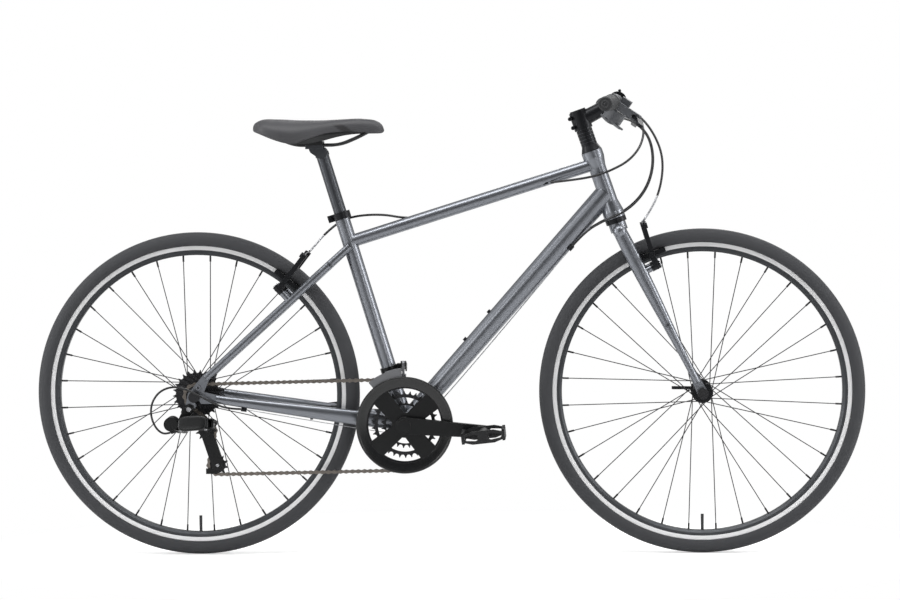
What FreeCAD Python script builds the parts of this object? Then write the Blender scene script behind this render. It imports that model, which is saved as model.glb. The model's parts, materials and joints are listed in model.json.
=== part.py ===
import FreeCAD, Part
import math
import os

from FreeCAD import Vector

# A hybrid bicycle in millimetres and degrees: +X forward, +Z up, the drive side faces -Y,
# and the origin lies on the ground midway between the two axles.

# Fits shared by all pieces
overrun = 2.0
running_fit = 0.08
near_fit = 0.3

# Layout of the frame
wheelbase = 1075.0
bracket_drop = 64.0
chainstay_length = 449.0
seat_angle = 73.2
head_angle = 71.0
fork_rake = 52.0
rear_dropout_width = 135.0
front_dropout_width = 100.0

# Tyre and inner tube
tyre_radius = 346.0
tyre_width = 36.0
tyre_wall = 2.6
bead_depth = 8.0
bead_thickness = 3.4
tube_wall = 1.0
valve_radius = 3.2
valve_length = 34.0

# Rim
rim_radius = 318.0
rim_depth = 20.5
rim_width = 24.0
rim_wall = 1.8
rim_floor = 6.0
rim_shoulder = 5.0

# Spokes
spoke_count = 32
spoke_crosses = 3
spoke_radius = 1.0
nipple_radius = 2.0
nipple_length = 13.0
spoke_head_radius = 1.7
spoke_head_length = 1.0
outer_spoke_lift = 1.5

# Hubs
flange_thickness = 3.0
flange_rim = 3.6
front_hole_radius = 19.0
front_flange_place = 34.0
front_shell_radius = 12.0
front_shell_half = 43.0
rear_hole_radius = 22.0
rear_right_flange = 12.5
rear_left_flange = 33.0
rear_shell_radius = 15.0
rear_shell_left = 47.0
freehub_radius = 15.5
freehub_end = 56.0
hub_bore_radius = 7.2
hub_collar_radius = 10.5

# Axles and quick releases
front_axle_radius = 4.5
rear_axle_radius = 5.0
skewer_radius = 2.4
locknut_radius = 8.5
cone_depth = 7.0
release_nut_radius = 11.5
release_nut_length = 12.0
release_head_radius = 8.5
release_head_length = 17.0
release_pin_radius = 3.0
release_lever_length = 55.0
release_lever_width = 11.0
release_lever_thickness = 6.0
release_lever_tip_radius = 6.5

# Sprockets and chain
chain_pitch = 12.7
sprocket_teeth = (12, 14, 16, 18, 20, 22, 25)
ring_teeth = (48, 34, 24)
pulley_teeth = 10
chain_plane = 50.0
sprocket_step = 4.8
sprocket_thickness = 2.0
tooth_seat_radius = 4.6
tooth_seat_turns = (-75, -28, 28, 75)
tooth_tip_rise = 2.4
tooth_tip_half = 0.8
sprocket_spacer_radius = 18.4
lockring_radius = 18.0
lockring_length = 4.0
roller_radius = 3.85
pin_radius = 1.75
link_plate_radius = 4.1
link_plate_thickness = 0.95
inner_link_gap = 2.5
link_side_play = 0.1
pin_proud = 0.2

# Cranks, chainrings and guard
crank_length = 170.0
crank_tilt = 4.5
spindle_radius = 8.5
crank_hub_radius = 18.0
crank_tip_radius = 13.0
crank_thickness = 13.5
crank_cap_radius = 14.0
crank_cap_thickness = 2.0
ring_thickness = 2.0
ring_step = 6.0
ring_inner_radii = (77.5, 57.8, 41.0)
rivet_radius = 3.6
rivet_circles = (64.0, 45.5)
spider_thickness = 6.0
spider_arms = 4
spider_reach = 88.0
spider_hub_radius = 27.0
spider_root_half = 15.0
spider_tip_half = 21.0
guard_radius = 103.0
guard_inner_radius = 80.7
guard_thickness = 3.0
guard_lip_width = 3.0
guard_lip_rise = 1.0
guard_arm_gap = 0.5

# Pedals
pedal_spindle_radius = 5.0
pedal_thread_radius = 7.0
pedal_neck = 4.0
pedal_length = 91.0
pedal_width = 92.0
pedal_height = 27.0
pedal_rail = 6.0
pedal_barrel_radius = 11.0
pedal_end_thickness = 5.0
pedal_rib_width = 8.0
pedal_tooth_height = 3.0
pedal_tooth_count = 5
pedal_lean = 6.0

# Frame tubes
tube_gauge = 2.0
seat_tube_radius = 15.9
seat_tube_length = 470.0
seat_slot_width = 3.0
seat_slot_length = 38.0
bracket_shell_radius = 20.5
bracket_shell_width = 68.0
bracket_bore_radius = 17.0
cartridge_lip = 2.0
head_tube_length = 150.0
head_tube_end_radius = 22.5
head_tube_waist_radius = 18.2
head_tube_end_length = 15.0
head_tube_flare = 22.0
head_bore_radius = 16.2
bearing_radius = 20.4
bearing_depth = 9.0
top_tube_seat_height = 404.0
top_tube_slope = 17.2
top_tube_half_height = 13.6
top_tube_half_width = 15.0
down_tube_head_height = 56.0
down_tube_lower_half = 20.2
down_tube_upper_half = 22.4

# Chain stays, seat stays and dropouts
dropout_thickness = 6.0
dropout_eye_radius = 15.0
dropout_stay_radius = 9.0
hanger_back = 11.5
hanger_drop = 26.0
hanger_radius = 9.0
hanger_bolt_radius = 5.0
dropout_slot_angle = -62.0
dropout_slot_length = 30.0
chainstay_half_height = 15.5
chainstay_half_width = 9.0
chainstay_end_reach = 46.0
chainstay_end_drop = 5.5
chainstay_spread = 70.5
chainstay_root_spread = 24.0
chainstay_root_back = 12.0
chainstay_shares = ((0.0, 0.90, 0.88, 0.0), (0.165, 1.0, 0.83, 0.11), (0.385, 0.94, 1.0, 0.385),
                    (0.72, 0.74, 1.0, 0.75), (0.85, 0.66, 0.95, 0.88), (1.0, 0.58, 0.88, 1.0))
seatstay_radius = 8.6
seatstay_foot_reach = 24.5
seatstay_foot_rise = 40.0
seatstay_top_height = 396.0
seatstay_top_spread = 17.0
seatstay_shares = ((0.0, 0.90, 1.0), (0.40, 1.0, 0.60), (0.69, 1.02, 0.335), (1.0, 0.95, 0.0))
stay_bridge_radius = 6.0
stay_bridge_share = 0.84
rack_boss_share = 0.86
rack_boss_radius = 5.5
rack_boss_rise = 4.0
thread_radius = 2.5
thread_depth = 9.0
eyelet_reach = 9.0
eyelet_rise = 20.0

# Brakes
brake_pivot_radius = 284.0
brake_stud_radius = 4.0
brake_stud_base_radius = 7.0
brake_stud_base = 24.0
brake_bush_radius = 8.0
brake_bush_length = 20.0
brake_arm_length = 88.0
brake_arm_tip_radius = 6.5
brake_arm_thickness = 10.0
brake_arm_lean = 2.0
brake_arm_pitch = 10.0
pad_radius = 311.5
pad_length = 62.0
pad_height = 9.0
pad_thickness = 9.0
pad_rim_gap = 1.8
pad_stud_radius = 3.2
pad_nut_radius = 6.0
pad_nut_length = 6.0
brake_bolt_radius = 6.0
brake_bolt_length = 3.0

# Fork and headset
fork_length = 398.0
steerer_radius = 14.3
lower_stack = 11.0
upper_cap_height = 13.0
upper_cap_radius = 22.0
spacer_count = 5
spacer_height = 7.2
spacer_radius = 17.0
spacer_seam = 0.4
stem_height = 40.0
top_cap_thickness = 3.0
crown_race_radius = 18.5
crown_race_height = 18.0
crown_bar_radius = 15.0
blade_spread = 36.0
blade_half_depth = 14.4
blade_half_width = 11.0
blade_shares = ((0.0, 1.0, 1.0), (0.35, 0.98, 1.0), (0.62, 0.70, 0.86), (0.93, 0.52, 0.70))
fork_dropout_thickness = 6.0
fork_dropout_radius = 11.5
fork_dropout_top_share = 0.88
fork_slot_length = 20.0
fork_eyelet_share = 0.575
fork_eyelet_radius = 6.0
fork_eyelet_stand = 9.0

# Stem and handlebar
stem_length = 88.0
stem_rise = 28.0
stem_clamp_radius = 19.5
stem_neck_radius = 15.0
stem_face_radius = 19.0
stem_face_width = 44.0
stem_bolt_radius = 4.2
stem_bolt_length = 36.0
stem_bolt_back = 21.0
face_bolt_length = 5.0
bar_radius = 11.1
bar_clamp_radius = 12.7
bar_clamp_half = 34.0
bar_bend_place = 58.0
bar_half_width = 298.0
bar_sweep = 29.0
bar_drop = 8.0
grip_radius = 15.5
grip_length = 122.0
grip_cap = 3.0
grip_collar_radius = 17.5
grip_collar_length = 5.0

# Controls on the handlebar
control_pitch = 34.0
bracket_gap = 3.0
bracket_ring_radius = 16.0
bracket_ring_length = 17.0
lever_pivot_reach = 58.0
lever_pivot_inset = 4.0
lever_ear_radius = 9.0
lever_tongue = 7.4
lever_slot_radius = 13.0
bracket_height = 17.0
lever_pin_radius = 2.5
lever_knuckle_out = 26.0
lever_knuckle_reach = 11.0
lever_knuckle_radius = 7.0
lever_tip_out = 108.0
lever_tip_reach = 23.0
lever_tip_radius = 6.5
adjuster_radius = 4.6
adjuster_length = 16.0
adjuster_share = 0.4362
adjuster_drop = 4.0
brake_lead = 22.0
pod_radius = 21.0
pod_height = 21.0
pod_inset = 29.0
pod_reach = 17.0
pod_drop = 13.5
window_length = 24.0
window_width = 22.0
window_height = 17.0
window_reach = 14.0
window_rise = 11.0
shift_pin_radius = 3.0
shift_plate = 3.4
shift_hub_radius = 8.0
thumb_length = 40.0
thumb_tip_radius = 8.5
thumb_angle = 208.0
trigger_length = 35.0
trigger_tip_radius = 6.5
trigger_angle = 48.0
gear_port_radius = 4.4
gear_port_length = 15.0
gear_port_reach = 12.0

# Seatpost and saddle
post_radius = 13.6
post_top = 603.0
post_bottom = 326.0
post_head_radius = 15.0
clamp_back = 14.24
clamp_height = 16.06
clamp_length = 36.0
clamp_width = 56.0
clamp_jaw = 8.0
clamp_bolt_radius = 3.5
rail_radius = 3.5
rail_spread = 22.0
saddle_length = 279.0
saddle_width = 156.0
saddle_depth = 54.0
saddle_back = 131.0
saddle_rise = 56.0
cover_side = 7.0
cover_top = 16.0
base_thickness = 3.0
collar_height = 15.0
collar_wall = 4.2
collar_ear_length = 9.0
collar_ear_half = 7.0
collar_bolt_radius = 4.0
collar_bolt_half = 13.0

# Front mech
mech_band_height = 118.0
mech_band_length = 15.0
mech_band_wall = 3.4
mech_body_reach = 31.0
mech_body_depth = 11.0
mech_pivot_rise = 30.0
mech_pivot_side = 24.0
mech_link_length = 28.0
mech_link_radius = 6.0
mech_link_thickness = 5.0
mech_link_lean = 16.6
mech_ear_thickness = 3.0
mech_pin_radius = 2.0
mech_cage_inner = 102.2
mech_cage_outer = 118.0
mech_cage_front = 93.0
mech_cage_bridge_back = 110.0
mech_cage_back = 130.0
mech_plate = 1.2
mech_inner_play = 0.8
mech_outer_play = 0.9
mech_bridge_thickness = 2.0
mech_tail_radius = 2.0

# Rear mech
mech_slant = 24.0
mech_rest_lean = 10.0
rear_link_length = 55.0
rear_link_barrel = 5.0
rear_link_half = 8.0
rear_link_web = 4.0
rear_link_gap = 13.0
rear_link_stagger = 5.0
rear_ear_thickness = 3.0
rear_ear_radius = 6.0
rear_web_thickness = 5.0
knuckle_back = 14.0
knuckle_drop = 32.0
knuckle_side = 100.0
knuckle_plate = 4.5
knuckle_body_radius = 15.0
knuckle_body_back = 12.5
knuckle_body_rise = 6.0
knuckle_body_end = 8.0
knuckle_boss_radius = 11.0
knuckle_bolt_radius = 7.5
knuckle_bolt_length = 2.5
guide_forward = 21.0
guide_drop = 74.0
tension_forward = 45.0
tension_drop = 147.8
cage_plate = 1.2
cage_play = 0.4
cage_end_radius = 13.0
cage_tab = 12.0
cage_pin_radius = 4.0
cage_pin_length = 11.0
cage_boss_radius = 8.0
cage_knuckle_radius = 12.0
cage_knuckle_length = 13.0
pulley_bolt_radius = 2.5
pulley_hub_radius = 7.0
pulley_hub_side = 0.2
mech_adjuster_radius = 4.0
mech_adjuster_length = 14.0
mech_adjuster_angle = 199.0
mech_adjuster_lead = 14.0

# Fittings on the frame
stop_radius = 4.6
stop_length = 12.0
bottle_bolt_radius = 4.4
bottle_bolt_rise = 4.0
bottle_bolt_shares = (0.335, 0.455)
guide_block_length = 12.0
guide_block_width = 22.0
guide_block_height = 5.0
down_stop_share = 0.79
down_stop_angle = 40.0
stay_stop_row = 4

# Cables
brake_housing_radius = 2.5
gear_housing_radius = 2.2
wire_radius = 0.8
noodle_start = 66.0
noodle_end = 30.0
wire_spread = 6.0
guide_lead = 22.0
gear_lead = 40.0

# Courses of the cables, each counted from one point of the bike
front_brake_course = ((36.0, -97.0, -26.0), (66.0, -79.0, -56.0), (88.0, -69.0, -99.0),
                      (94.0, -66.0, -138.0), (88.0, -66.0, -182.0), (75.0, -66.0, -217.0))
rear_brake_course = ((38.0, 75.0, -32.0), (58.0, 28.0, -57.0), (50.0, -6.0, -96.0),
                     (24.0, -27.0, -127.0), (-14.0, -34.0, -147.0), (-52.0, -33.0, -160.0),
                     (-97.0, -27.0, -167.0), (-142.0, -14.0, -172.0))
gear_course = ((9.0, 76.0, -37.0), (38.0, 52.0, -46.0), (66.0, 40.0, -75.0), (76.0, 34.0, -119.0),
               (70.0, 32.0, -164.0), (50.0, 31.0, -203.0), (15.0, 31.0, -235.0), (-27.0, 27.0, -252.0))
tube_course = ((395.0, -4.0, 119.0), (350.0, 0.0, 108.0), (200.0, 0.0, 61.8), (155.0, 0.0, 50.0),
               (115.0, 2.0, 50.0), (78.0, 9.0, 57.0), (36.0, 19.0, 57.0), (-3.0, 28.0, 51.0),
               (-35.0, 42.0, 35.0), (-65.0, 58.0, 7.0))
front_mech_course = ((-30.0, -9.0, -6.0), (-54.0, -9.0, 102.0))
loop_course = ((67.0, -70.0, -26.0), (37.0, -84.0, -10.0), (7.0, -93.0, 7.0), (-17.0, -97.0, 20.0),
               (-44.0, -100.0, 25.0), (-70.0, -102.0, 15.0), (-86.0, -102.0, -7.0), (-90.0, -100.0, -31.0),
               (-85.0, -98.0, -53.0), (-75.0, -97.0, -69.0))

# Axes shared by the whole bike
along = Vector(1, 0, 0)
leftward = Vector(0, 1, 0)
upward = Vector(0, 0, 1)
sides = (-1, 1)


def direction(degrees):
    """Unit vector in the bike's plane, counted from +X towards +Z."""
    angle = math.radians(degrees)
    return Vector(math.cos(angle), 0, math.sin(angle))


# Points that the layout fixes
rear_axle_point = Vector(-wheelbase / 2, 0, tyre_radius)
front_axle_point = Vector(wheelbase / 2, 0, tyre_radius)
bracket_run = math.sqrt(chainstay_length ** 2 - bracket_drop ** 2)
bracket_point = rear_axle_point + Vector(bracket_run, 0, -bracket_drop)
seat_axis = direction(180 - seat_angle)
head_axis = direction(180 - head_angle)
head_normal = direction(90 - head_angle)
seat_normal = direction(90 - seat_angle)
steer_foot = front_axle_point - head_normal * fork_rake


def seat_point(distance):
    """Point on the seat tube's axis, counted up from the bottom bracket."""
    return bracket_point + seat_axis * distance


def steer_point(distance):
    """Point on the steering axis, counted up from the level of the front axle."""
    return steer_foot + head_axis * distance


head_bottom = fork_length + lower_stack
head_top = head_bottom + head_tube_length
spacer_bottom = head_top + upper_cap_height
stem_bottom = spacer_bottom + spacer_count * spacer_height
stem_top = stem_bottom + stem_height
stem_middle = steer_point((stem_bottom + stem_top) / 2)
bar_point = stem_middle + direction(stem_rise) * stem_length
crank_direction = direction(-crank_tilt)


def pitch_radius(teeth):
    """Radius of the circle on which the chain's rollers lie."""
    return chain_pitch / (2 * math.sin(math.pi / teeth))


# Simple solids
def rod(start, end, radius):
    """Solid round bar between two points."""
    axis = end - start
    return Part.makeCylinder(radius, axis.Length, start, axis)


def ring(start, end, outer, inner):
    """Round bar with a bore along its whole length."""
    return rod(start, end, outer).cut(rod(start, end, inner))


def fused(solids):
    """One clean solid out of several that overlap."""
    body = solids[0]
    if len(solids) > 1:
        body = body.multiFuse(solids[1:])
    return body.removeSplitter()


def square_to(axis):
    """Unit vector at right angles to an axis."""
    helper = leftward if abs(axis.dot(leftward)) < 0.9 else along
    return axis.cross(helper).normalize()


def spun(outline, centre, axis):
    """Body of revolution from (radius, distance along the axis) points."""
    across = square_to(axis)
    points = [centre + across * radius + axis * place for radius, place in outline]
    face = Part.Face(Part.makePolygon(points + points[:1]))
    return Part.Solid(face.revolve(centre, axis, 360))


def oval(centre, first, second, half_first, half_second):
    """Closed ellipse around a centre with its two half widths along two directions."""
    normal = first.cross(second)
    a = first * half_first
    b = second * half_second
    matrix = FreeCAD.Matrix(a.x, b.x, normal.x, centre.x, a.y, b.y, normal.y, centre.y,
                            a.z, b.z, normal.z, centre.z, 0, 0, 0, 1)
    return Part.Wire(Part.Circle().toShape()).transformGeometry(matrix).Wires[0]


def loft(wires):
    """Closed solid through a row of outlines."""
    return Part.makeLoft(wires, True)


def box(centre, axes, halves):
    """Block around a centre with half sizes along three axes."""
    first, second, third = [axis * half for axis, half in zip(axes, halves)]
    corners = [centre - third + first * a + second * b for a, b in ((-1, -1), (1, -1), (1, 1), (-1, 1))]
    return Part.Face(Part.makePolygon(corners + corners[:1])).extrude(third * 2)


def slug(start, start_radius, end, end_radius, normal, thickness):
    """Plate with two round ends, its middle plane through both centres."""
    run = end - start
    ahead = Vector(run).normalize()
    beside = normal.cross(ahead)
    lean = math.acos((start_radius - end_radius) / run.Length)
    lift = ahead * math.cos(lean)
    spread = beside * math.sin(lean)
    base = normal * (-thickness / 2)
    first = base + start + (lift + spread) * start_radius
    second = base + end + (lift + spread) * end_radius
    third = base + end + (lift - spread) * end_radius
    fourth = base + start + (lift - spread) * start_radius
    nose = Part.Arc(second, base + end + ahead * end_radius, third).toShape()
    tail = Part.Arc(fourth, base + start - ahead * start_radius, first).toShape()
    edges = [Part.makeLine(first, second), nose, Part.makeLine(third, fourth), tail]
    return Part.Face(Part.Wire(edges)).extrude(normal * thickness)


def rounded_path(points):
    """Wire along straight runs joined by tangent arcs, with the arcs' radii."""
    edges = []
    radii = []
    last = points[0]
    for before, corner, after in zip(points, points[1:], points[2:]):
        back = before - corner
        ahead = after - corner
        half_turn = (math.pi - back.getAngle(ahead)) / 2
        reach = 0.45 * min(back.Length, ahead.Length)
        radius = reach / math.tan(half_turn)
        back.normalize()
        ahead.normalize()
        enter = corner + back * reach
        leave = corner + ahead * reach
        inward = (back + ahead).normalize()
        middle = corner + inward * (radius / math.cos(half_turn) - radius)
        edges.append(Part.LineSegment(last, enter).toShape())
        edges.append(Part.Arc(enter, middle, leave).toShape())
        radii.append(radius)
        last = leave
    edges.append(Part.LineSegment(last, points[-1]).toShape())
    return Part.Wire(edges), radii


def swept(points, radius):
    """Round bar along a rounded path, with its volume compared with section times length."""
    path, radii = rounded_path(points)
    profile = Part.Wire(Part.Circle(points[0], points[1] - points[0], radius).toShape())
    solid = path.makePipeShell([profile], True, False)
    expected = math.pi * radius ** 2 * path.Length
    least = min(radii) if radii else 0
    print("swept radius %.1f least bend %.1f volume ratio %.4f" % (radius, least, solid.Volume / expected))
    return solid


def toothed(centre, teeth, phase, inner, thickness):
    """Flat toothed wheel across the Y axis, with a tooth at the phase angle and roller seats between the teeth."""
    pitch = pitch_radius(teeth)
    step = 360 / teeth
    points = []
    for index in range(teeth):
        middle = phase + step * index
        tip = centre + direction(middle) * (pitch + tooth_tip_rise)
        beside = direction(middle + 90) * tooth_tip_half
        points += [tip - beside, tip + beside]
        gap = middle + step / 2
        seat = centre + direction(gap) * pitch
        points += [seat + direction(gap + 180 - turn) * tooth_seat_radius for turn in tooth_seat_turns]
    points = [point - leftward * (thickness / 2) for point in points]
    body = Part.Face(Part.makePolygon(points + points[:1])).extrude(leftward * thickness)
    bore = rod(centre - leftward * thickness, centre + leftward * thickness, inner)
    return body.cut(bore)


# Wheels
def tyre_casing(axle):
    """Tyre of one horseshoe section, its beads between the rim's edges."""
    middle = tyre_radius - tyre_width / 2
    outer = tyre_width / 2
    inner = outer - tyre_wall
    seat = rim_radius + near_fit
    lip = seat + tyre_wall
    bead_outer = rim_width / 2 - rim_wall - near_fit
    bead_inner = bead_outer - bead_thickness
    shoulder = math.sqrt(outer ** 2 - (middle - seat) ** 2)
    hollow = math.sqrt(inner ** 2 - (middle - lip) ** 2)

    def at(radius, place):
        return axle + upward * radius + leftward * place

    def corner(radius, place):
        return [at(radius, place), at(radius, -place)]

    shoulders = corner(seat, shoulder)
    outers = corner(seat, bead_outer)
    toes = corner(seat - bead_depth, bead_outer)
    heels = corner(seat - bead_depth, bead_inner)
    necks = corner(lip, bead_inner)
    hollows = corner(lip, hollow)
    edges = [Part.Arc(shoulders[0], at(middle + outer, 0), shoulders[1]).toShape()]
    edges += [Part.makeLine(shoulders[1], outers[1]), Part.makeLine(outers[1], toes[1])]
    edges += [Part.makeLine(toes[1], heels[1]), Part.makeLine(heels[1], necks[1]),
              Part.makeLine(necks[1], hollows[1])]
    edges += [Part.Arc(hollows[1], at(middle + inner, 0), hollows[0]).toShape()]
    edges += [Part.makeLine(hollows[0], necks[0]), Part.makeLine(necks[0], heels[0]),
              Part.makeLine(heels[0], toes[0])]
    edges += [Part.makeLine(toes[0], outers[0]), Part.makeLine(outers[0], shoulders[0])]
    return Part.Solid(Part.Face(Part.Wire(edges)).revolve(axle, leftward, 360))


def inner_tube(axle):
    """Hollow tube inside the tyre, with its valve through the bottom of the rim."""
    top = tyre_radius - tyre_wall - near_fit
    bottom = rim_radius + tyre_wall + near_fit * 2
    middle = (top + bottom) / 2
    outer = (top - bottom) / 2
    air = Part.makeTorus(middle, outer - tube_wall, axle, leftward)
    skin = Part.makeTorus(middle, outer, axle, leftward)
    start = axle - upward * (bottom + tube_wall / 2)
    end = axle - upward * (rim_radius - rim_depth - valve_length)
    return skin.fuse(rod(start, end, valve_radius)).cut(air)


def rim(axle):
    """Channel section with flat brake tracks and a hole for the valve."""
    half = rim_width / 2
    inner = rim_radius - rim_depth
    bed = inner + rim_floor
    slope = rim_shoulder
    outline = [(rim_radius, half), (inner + slope, half), (inner, half - slope), (inner, slope - half),
               (inner + slope, -half), (rim_radius, -half), (rim_radius, rim_wall - half),
               (bed, rim_wall - half), (bed, half - rim_wall),
               (rim_radius, half - rim_wall)]
    hole = rod(axle - upward * (inner - overrun), axle - upward * (bed + overrun), valve_radius + near_fit)
    return spun(outline, axle, leftward).cut(hole)


def wheel_point(axle, radius, degrees, place):
    """Point on a wheel at a radius, an angle and a distance to the left."""
    return axle + direction(degrees) * radius + leftward * place


def spoke_places(flanges):
    """Side, hub angle, rim angle and hub offset of every spoke."""
    step = 360 / spoke_count
    swing = spoke_crosses * 2 * step
    for index in range(spoke_count):
        side = sides[index % 2]
        trailing = (index // 2) % 2 == 0
        rim_angle = (index + 0.5) * step
        hub_angle = rim_angle + (swing if trailing else -swing)
        yield side, flanges[side], hub_angle, rim_angle, trailing


def spokes(axle, flanges, hole_radius):
    """All spokes of a wheel, each with its hooked head and its nipple."""
    solids = []
    for side, place, hub_angle, rim_angle, outside in spoke_places(flanges):
        stand = flange_thickness / 2 + spoke_radius + (outer_spoke_lift if outside else near_fit)
        hub_place = side * (place + (stand if outside else -stand))
        far_place = side * (place - (stand if outside else -stand))
        start = wheel_point(axle, hole_radius, hub_angle, hub_place)
        end = wheel_point(axle, rim_radius - rim_depth - near_fit, rim_angle, 0)
        run = Vector(end - start).normalize()
        far = wheel_point(axle, hole_radius, hub_angle, far_place)
        head_start = far - (far - start).normalize() * spoke_head_length
        pieces = [rod(start, end, spoke_radius), rod(end - run * nipple_length, end, nipple_radius),
                  rod(start, far, spoke_radius), Part.makeSphere(spoke_radius, start),
                  rod(head_start, far, spoke_head_radius)]
        solids.append(fused(pieces))
    return solids


def drilled_flanges(shell, axle, flanges, hole_radius):
    """Hub shell with one hole for each spoke."""
    holes = []
    for side, place, hub_angle, _, _ in spoke_places(flanges):
        reach = flange_thickness / 2 + overrun / 2
        start = wheel_point(axle, hole_radius, hub_angle, side * (place - reach))
        end = wheel_point(axle, hole_radius, hub_angle, side * (place + reach))
        holes.append(rod(start, end, spoke_radius + running_fit))
    return shell.cut(Part.makeCompound(holes))


def flange_outline(place, hole_radius, toward):
    """Outline points of one flange, from its outer face to its inner face or back."""
    outer = hole_radius + flange_rim
    half = flange_thickness / 2
    return [(outer, place - toward * half), (outer, place + toward * half)]


def front_hub():
    """Front hub shell between its two flanges."""
    half = flange_thickness / 2
    place = front_flange_place
    end = front_shell_half
    outline = [(hub_bore_radius, -end), (hub_collar_radius, -end), (hub_collar_radius, -place - half)]
    outline += flange_outline(-place, front_hole_radius, 1)
    outline += [(front_shell_radius, half - place), (front_shell_radius, place - half)]
    outline += flange_outline(place, front_hole_radius, 1)
    outline += [(hub_collar_radius, place + half), (hub_collar_radius, end), (hub_bore_radius, end)]
    shell = spun(outline, front_axle_point, leftward)
    return drilled_flanges(shell, front_axle_point, {-1: place, 1: place}, front_hole_radius)


def rear_hub():
    """Rear hub shell with the body that carries the sprockets."""
    half = flange_thickness / 2
    right = -rear_right_flange
    left = rear_left_flange
    outline = [(hub_bore_radius, -freehub_end), (freehub_radius, -freehub_end), (freehub_radius, right - half)]
    outline += flange_outline(right, rear_hole_radius, 1)
    outline += [(rear_shell_radius, right + half), (rear_shell_radius, left - half)]
    outline += flange_outline(left, rear_hole_radius, 1)
    outline += [(hub_collar_radius, left + half), (hub_collar_radius, rear_shell_left)]
    outline += [(hub_bore_radius, rear_shell_left)]
    shell = spun(outline, rear_axle_point, leftward)
    flanges = {-1: rear_right_flange, 1: rear_left_flange}
    return drilled_flanges(shell, rear_axle_point, flanges, rear_hole_radius)


# Axles and quick releases
def axle_set(axle, radius, right_end, left_end, half_width, plate):
    """Hollow axle with its cones and locknuts, the skewer, its nut and its cam head."""
    outer = half_width + plate - overrun / 4
    cone = hub_bore_radius - running_fit
    outline = [(skewer_radius + near_fit, -outer), (radius, -outer), (radius, -half_width),
               (locknut_radius, -half_width), (locknut_radius, -right_end - near_fit),
               (cone, -right_end - near_fit), (cone, cone_depth - right_end), (radius, cone_depth - right_end),
               (radius, left_end - cone_depth), (cone, left_end - cone_depth), (cone, left_end + near_fit),
               (locknut_radius, left_end + near_fit), (locknut_radius, half_width), (radius, half_width),
               (radius, outer), (skewer_radius + near_fit, outer)]
    body = spun(outline, axle, leftward)
    face = half_width + plate
    tip = face + release_nut_length
    shaft = rod(axle - leftward * tip, axle + leftward * (face + overrun), skewer_radius)
    nut = ring(axle - leftward * tip, axle - leftward * face, release_nut_radius, skewer_radius)
    head = ring(axle + leftward * face, axle + leftward * (face + release_head_length / 2),
                release_head_radius, skewer_radius)
    return [body, shaft, nut, release_ears(axle, face, head)]


def release_pivot(axle, face):
    """Middle of the cam pin of a quick release."""
    return axle + leftward * (face + release_head_length - release_head_radius / 2)


def release_ears(axle, face, head):
    """Cam head with two ears and the pin on which the lever turns."""
    pivot = release_pivot(axle, face)
    gap = release_lever_thickness / 2 + near_fit
    width = (release_head_radius - gap) / 2
    ears = []
    for side in sides:
        middle = upward * (side * (gap + width))
        start = axle + leftward * (face + release_head_length / 4) + middle
        ears.append(slug(start, release_head_radius / 2, pivot + middle, release_head_radius / 2,
                         upward, width * 2))
    reach = upward * release_head_radius
    ears.append(rod(pivot - reach, pivot + reach, release_pin_radius))
    slot = box(axle + leftward * (face + release_head_length / 2), (along, leftward, upward),
               (release_head_radius * 2, release_head_length / 4, gap))
    body = fused([head.cut(slot)] + ears)
    return body


def release_lever(axle, face):
    """Quick release lever, closed and lying back along the wheel."""
    pivot = release_pivot(axle, face)
    tip = pivot - along * release_lever_length + leftward * (release_lever_width / 2)
    cam = release_head_radius / 2
    plate = slug(pivot, cam, tip, release_lever_tip_radius, upward, release_lever_thickness)
    bore = rod(pivot - upward * release_lever_width, pivot + upward * release_lever_width,
               release_pin_radius + running_fit)
    return plate.cut(bore)


# Chain and toothed wheels
guide_point = rear_axle_point + Vector(guide_forward, 0, -guide_drop)
tension_point = rear_axle_point + Vector(tension_forward, 0, -tension_drop)


def chain_loop():
    """Centre, pitch radius and sense of every wheel that the chain goes round, in order."""
    return [(bracket_point, pitch_radius(ring_teeth[0]), 1),
            (rear_axle_point, pitch_radius(sprocket_teeth[0]), 1),
            (guide_point, pitch_radius(pulley_teeth), -1),
            (tension_point, pitch_radius(pulley_teeth), 1)]


def tangent(first, second):
    """Ends of the directed straight run from one wheel to the next."""
    centre, radius, sense = first
    next_centre, next_radius, next_sense = second
    run = next_centre - centre
    share = (sense * radius - next_sense * next_radius) / run.Length
    ahead = Vector(run).normalize()
    beside = Vector(-ahead.z, 0, ahead.x)
    normal = ahead * share - beside * math.sqrt(1 - share ** 2)
    return centre + normal * (sense * radius), next_centre + normal * (next_sense * next_radius)


def chain_course(step):
    """Closely spaced points along the closed path of the rollers."""
    wheels = chain_loop()
    runs = [tangent(wheel, wheels[(index + 1) % len(wheels)]) for index, wheel in enumerate(wheels)]
    points = []
    for index, (centre, radius, sense) in enumerate(wheels):
        enter = runs[index - 1][1] - centre
        leave = runs[index][0] - centre
        start = math.atan2(enter.z, enter.x)
        turn = (sense * (math.atan2(leave.z, leave.x) - start)) % (2 * math.pi)
        count = max(2, int(turn * radius / step))
        for place in range(count):
            angle = start + sense * turn * place / count
            points.append(centre + Vector(math.cos(angle), 0, math.sin(angle)) * radius)
        begin, end = runs[index]
        count = int((end - begin).Length / step)
        points += [begin + (end - begin) * (place / count) for place in range(count)]
    return points


def walk(course, count, stride):
    """Roller centres a fixed stride apart, and how far past the start the last one falls."""
    places = [course[0]]
    travelled = 0
    index = 0
    current = course[0]
    total = len(course)
    while len(places) <= count:
        while (course[(index + 1) % total] - places[-1]).Length < stride and index < 2 * total:
            index += 1
        low = course[index % total]
        high = course[(index + 1) % total]
        near = (low - places[-1]).Length
        far = (high - places[-1]).Length
        share = (stride - near) / (far - near)
        current = low + (high - low) * share
        places.append(current)
        travelled = index + share
    return places[:count], travelled - total


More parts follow.
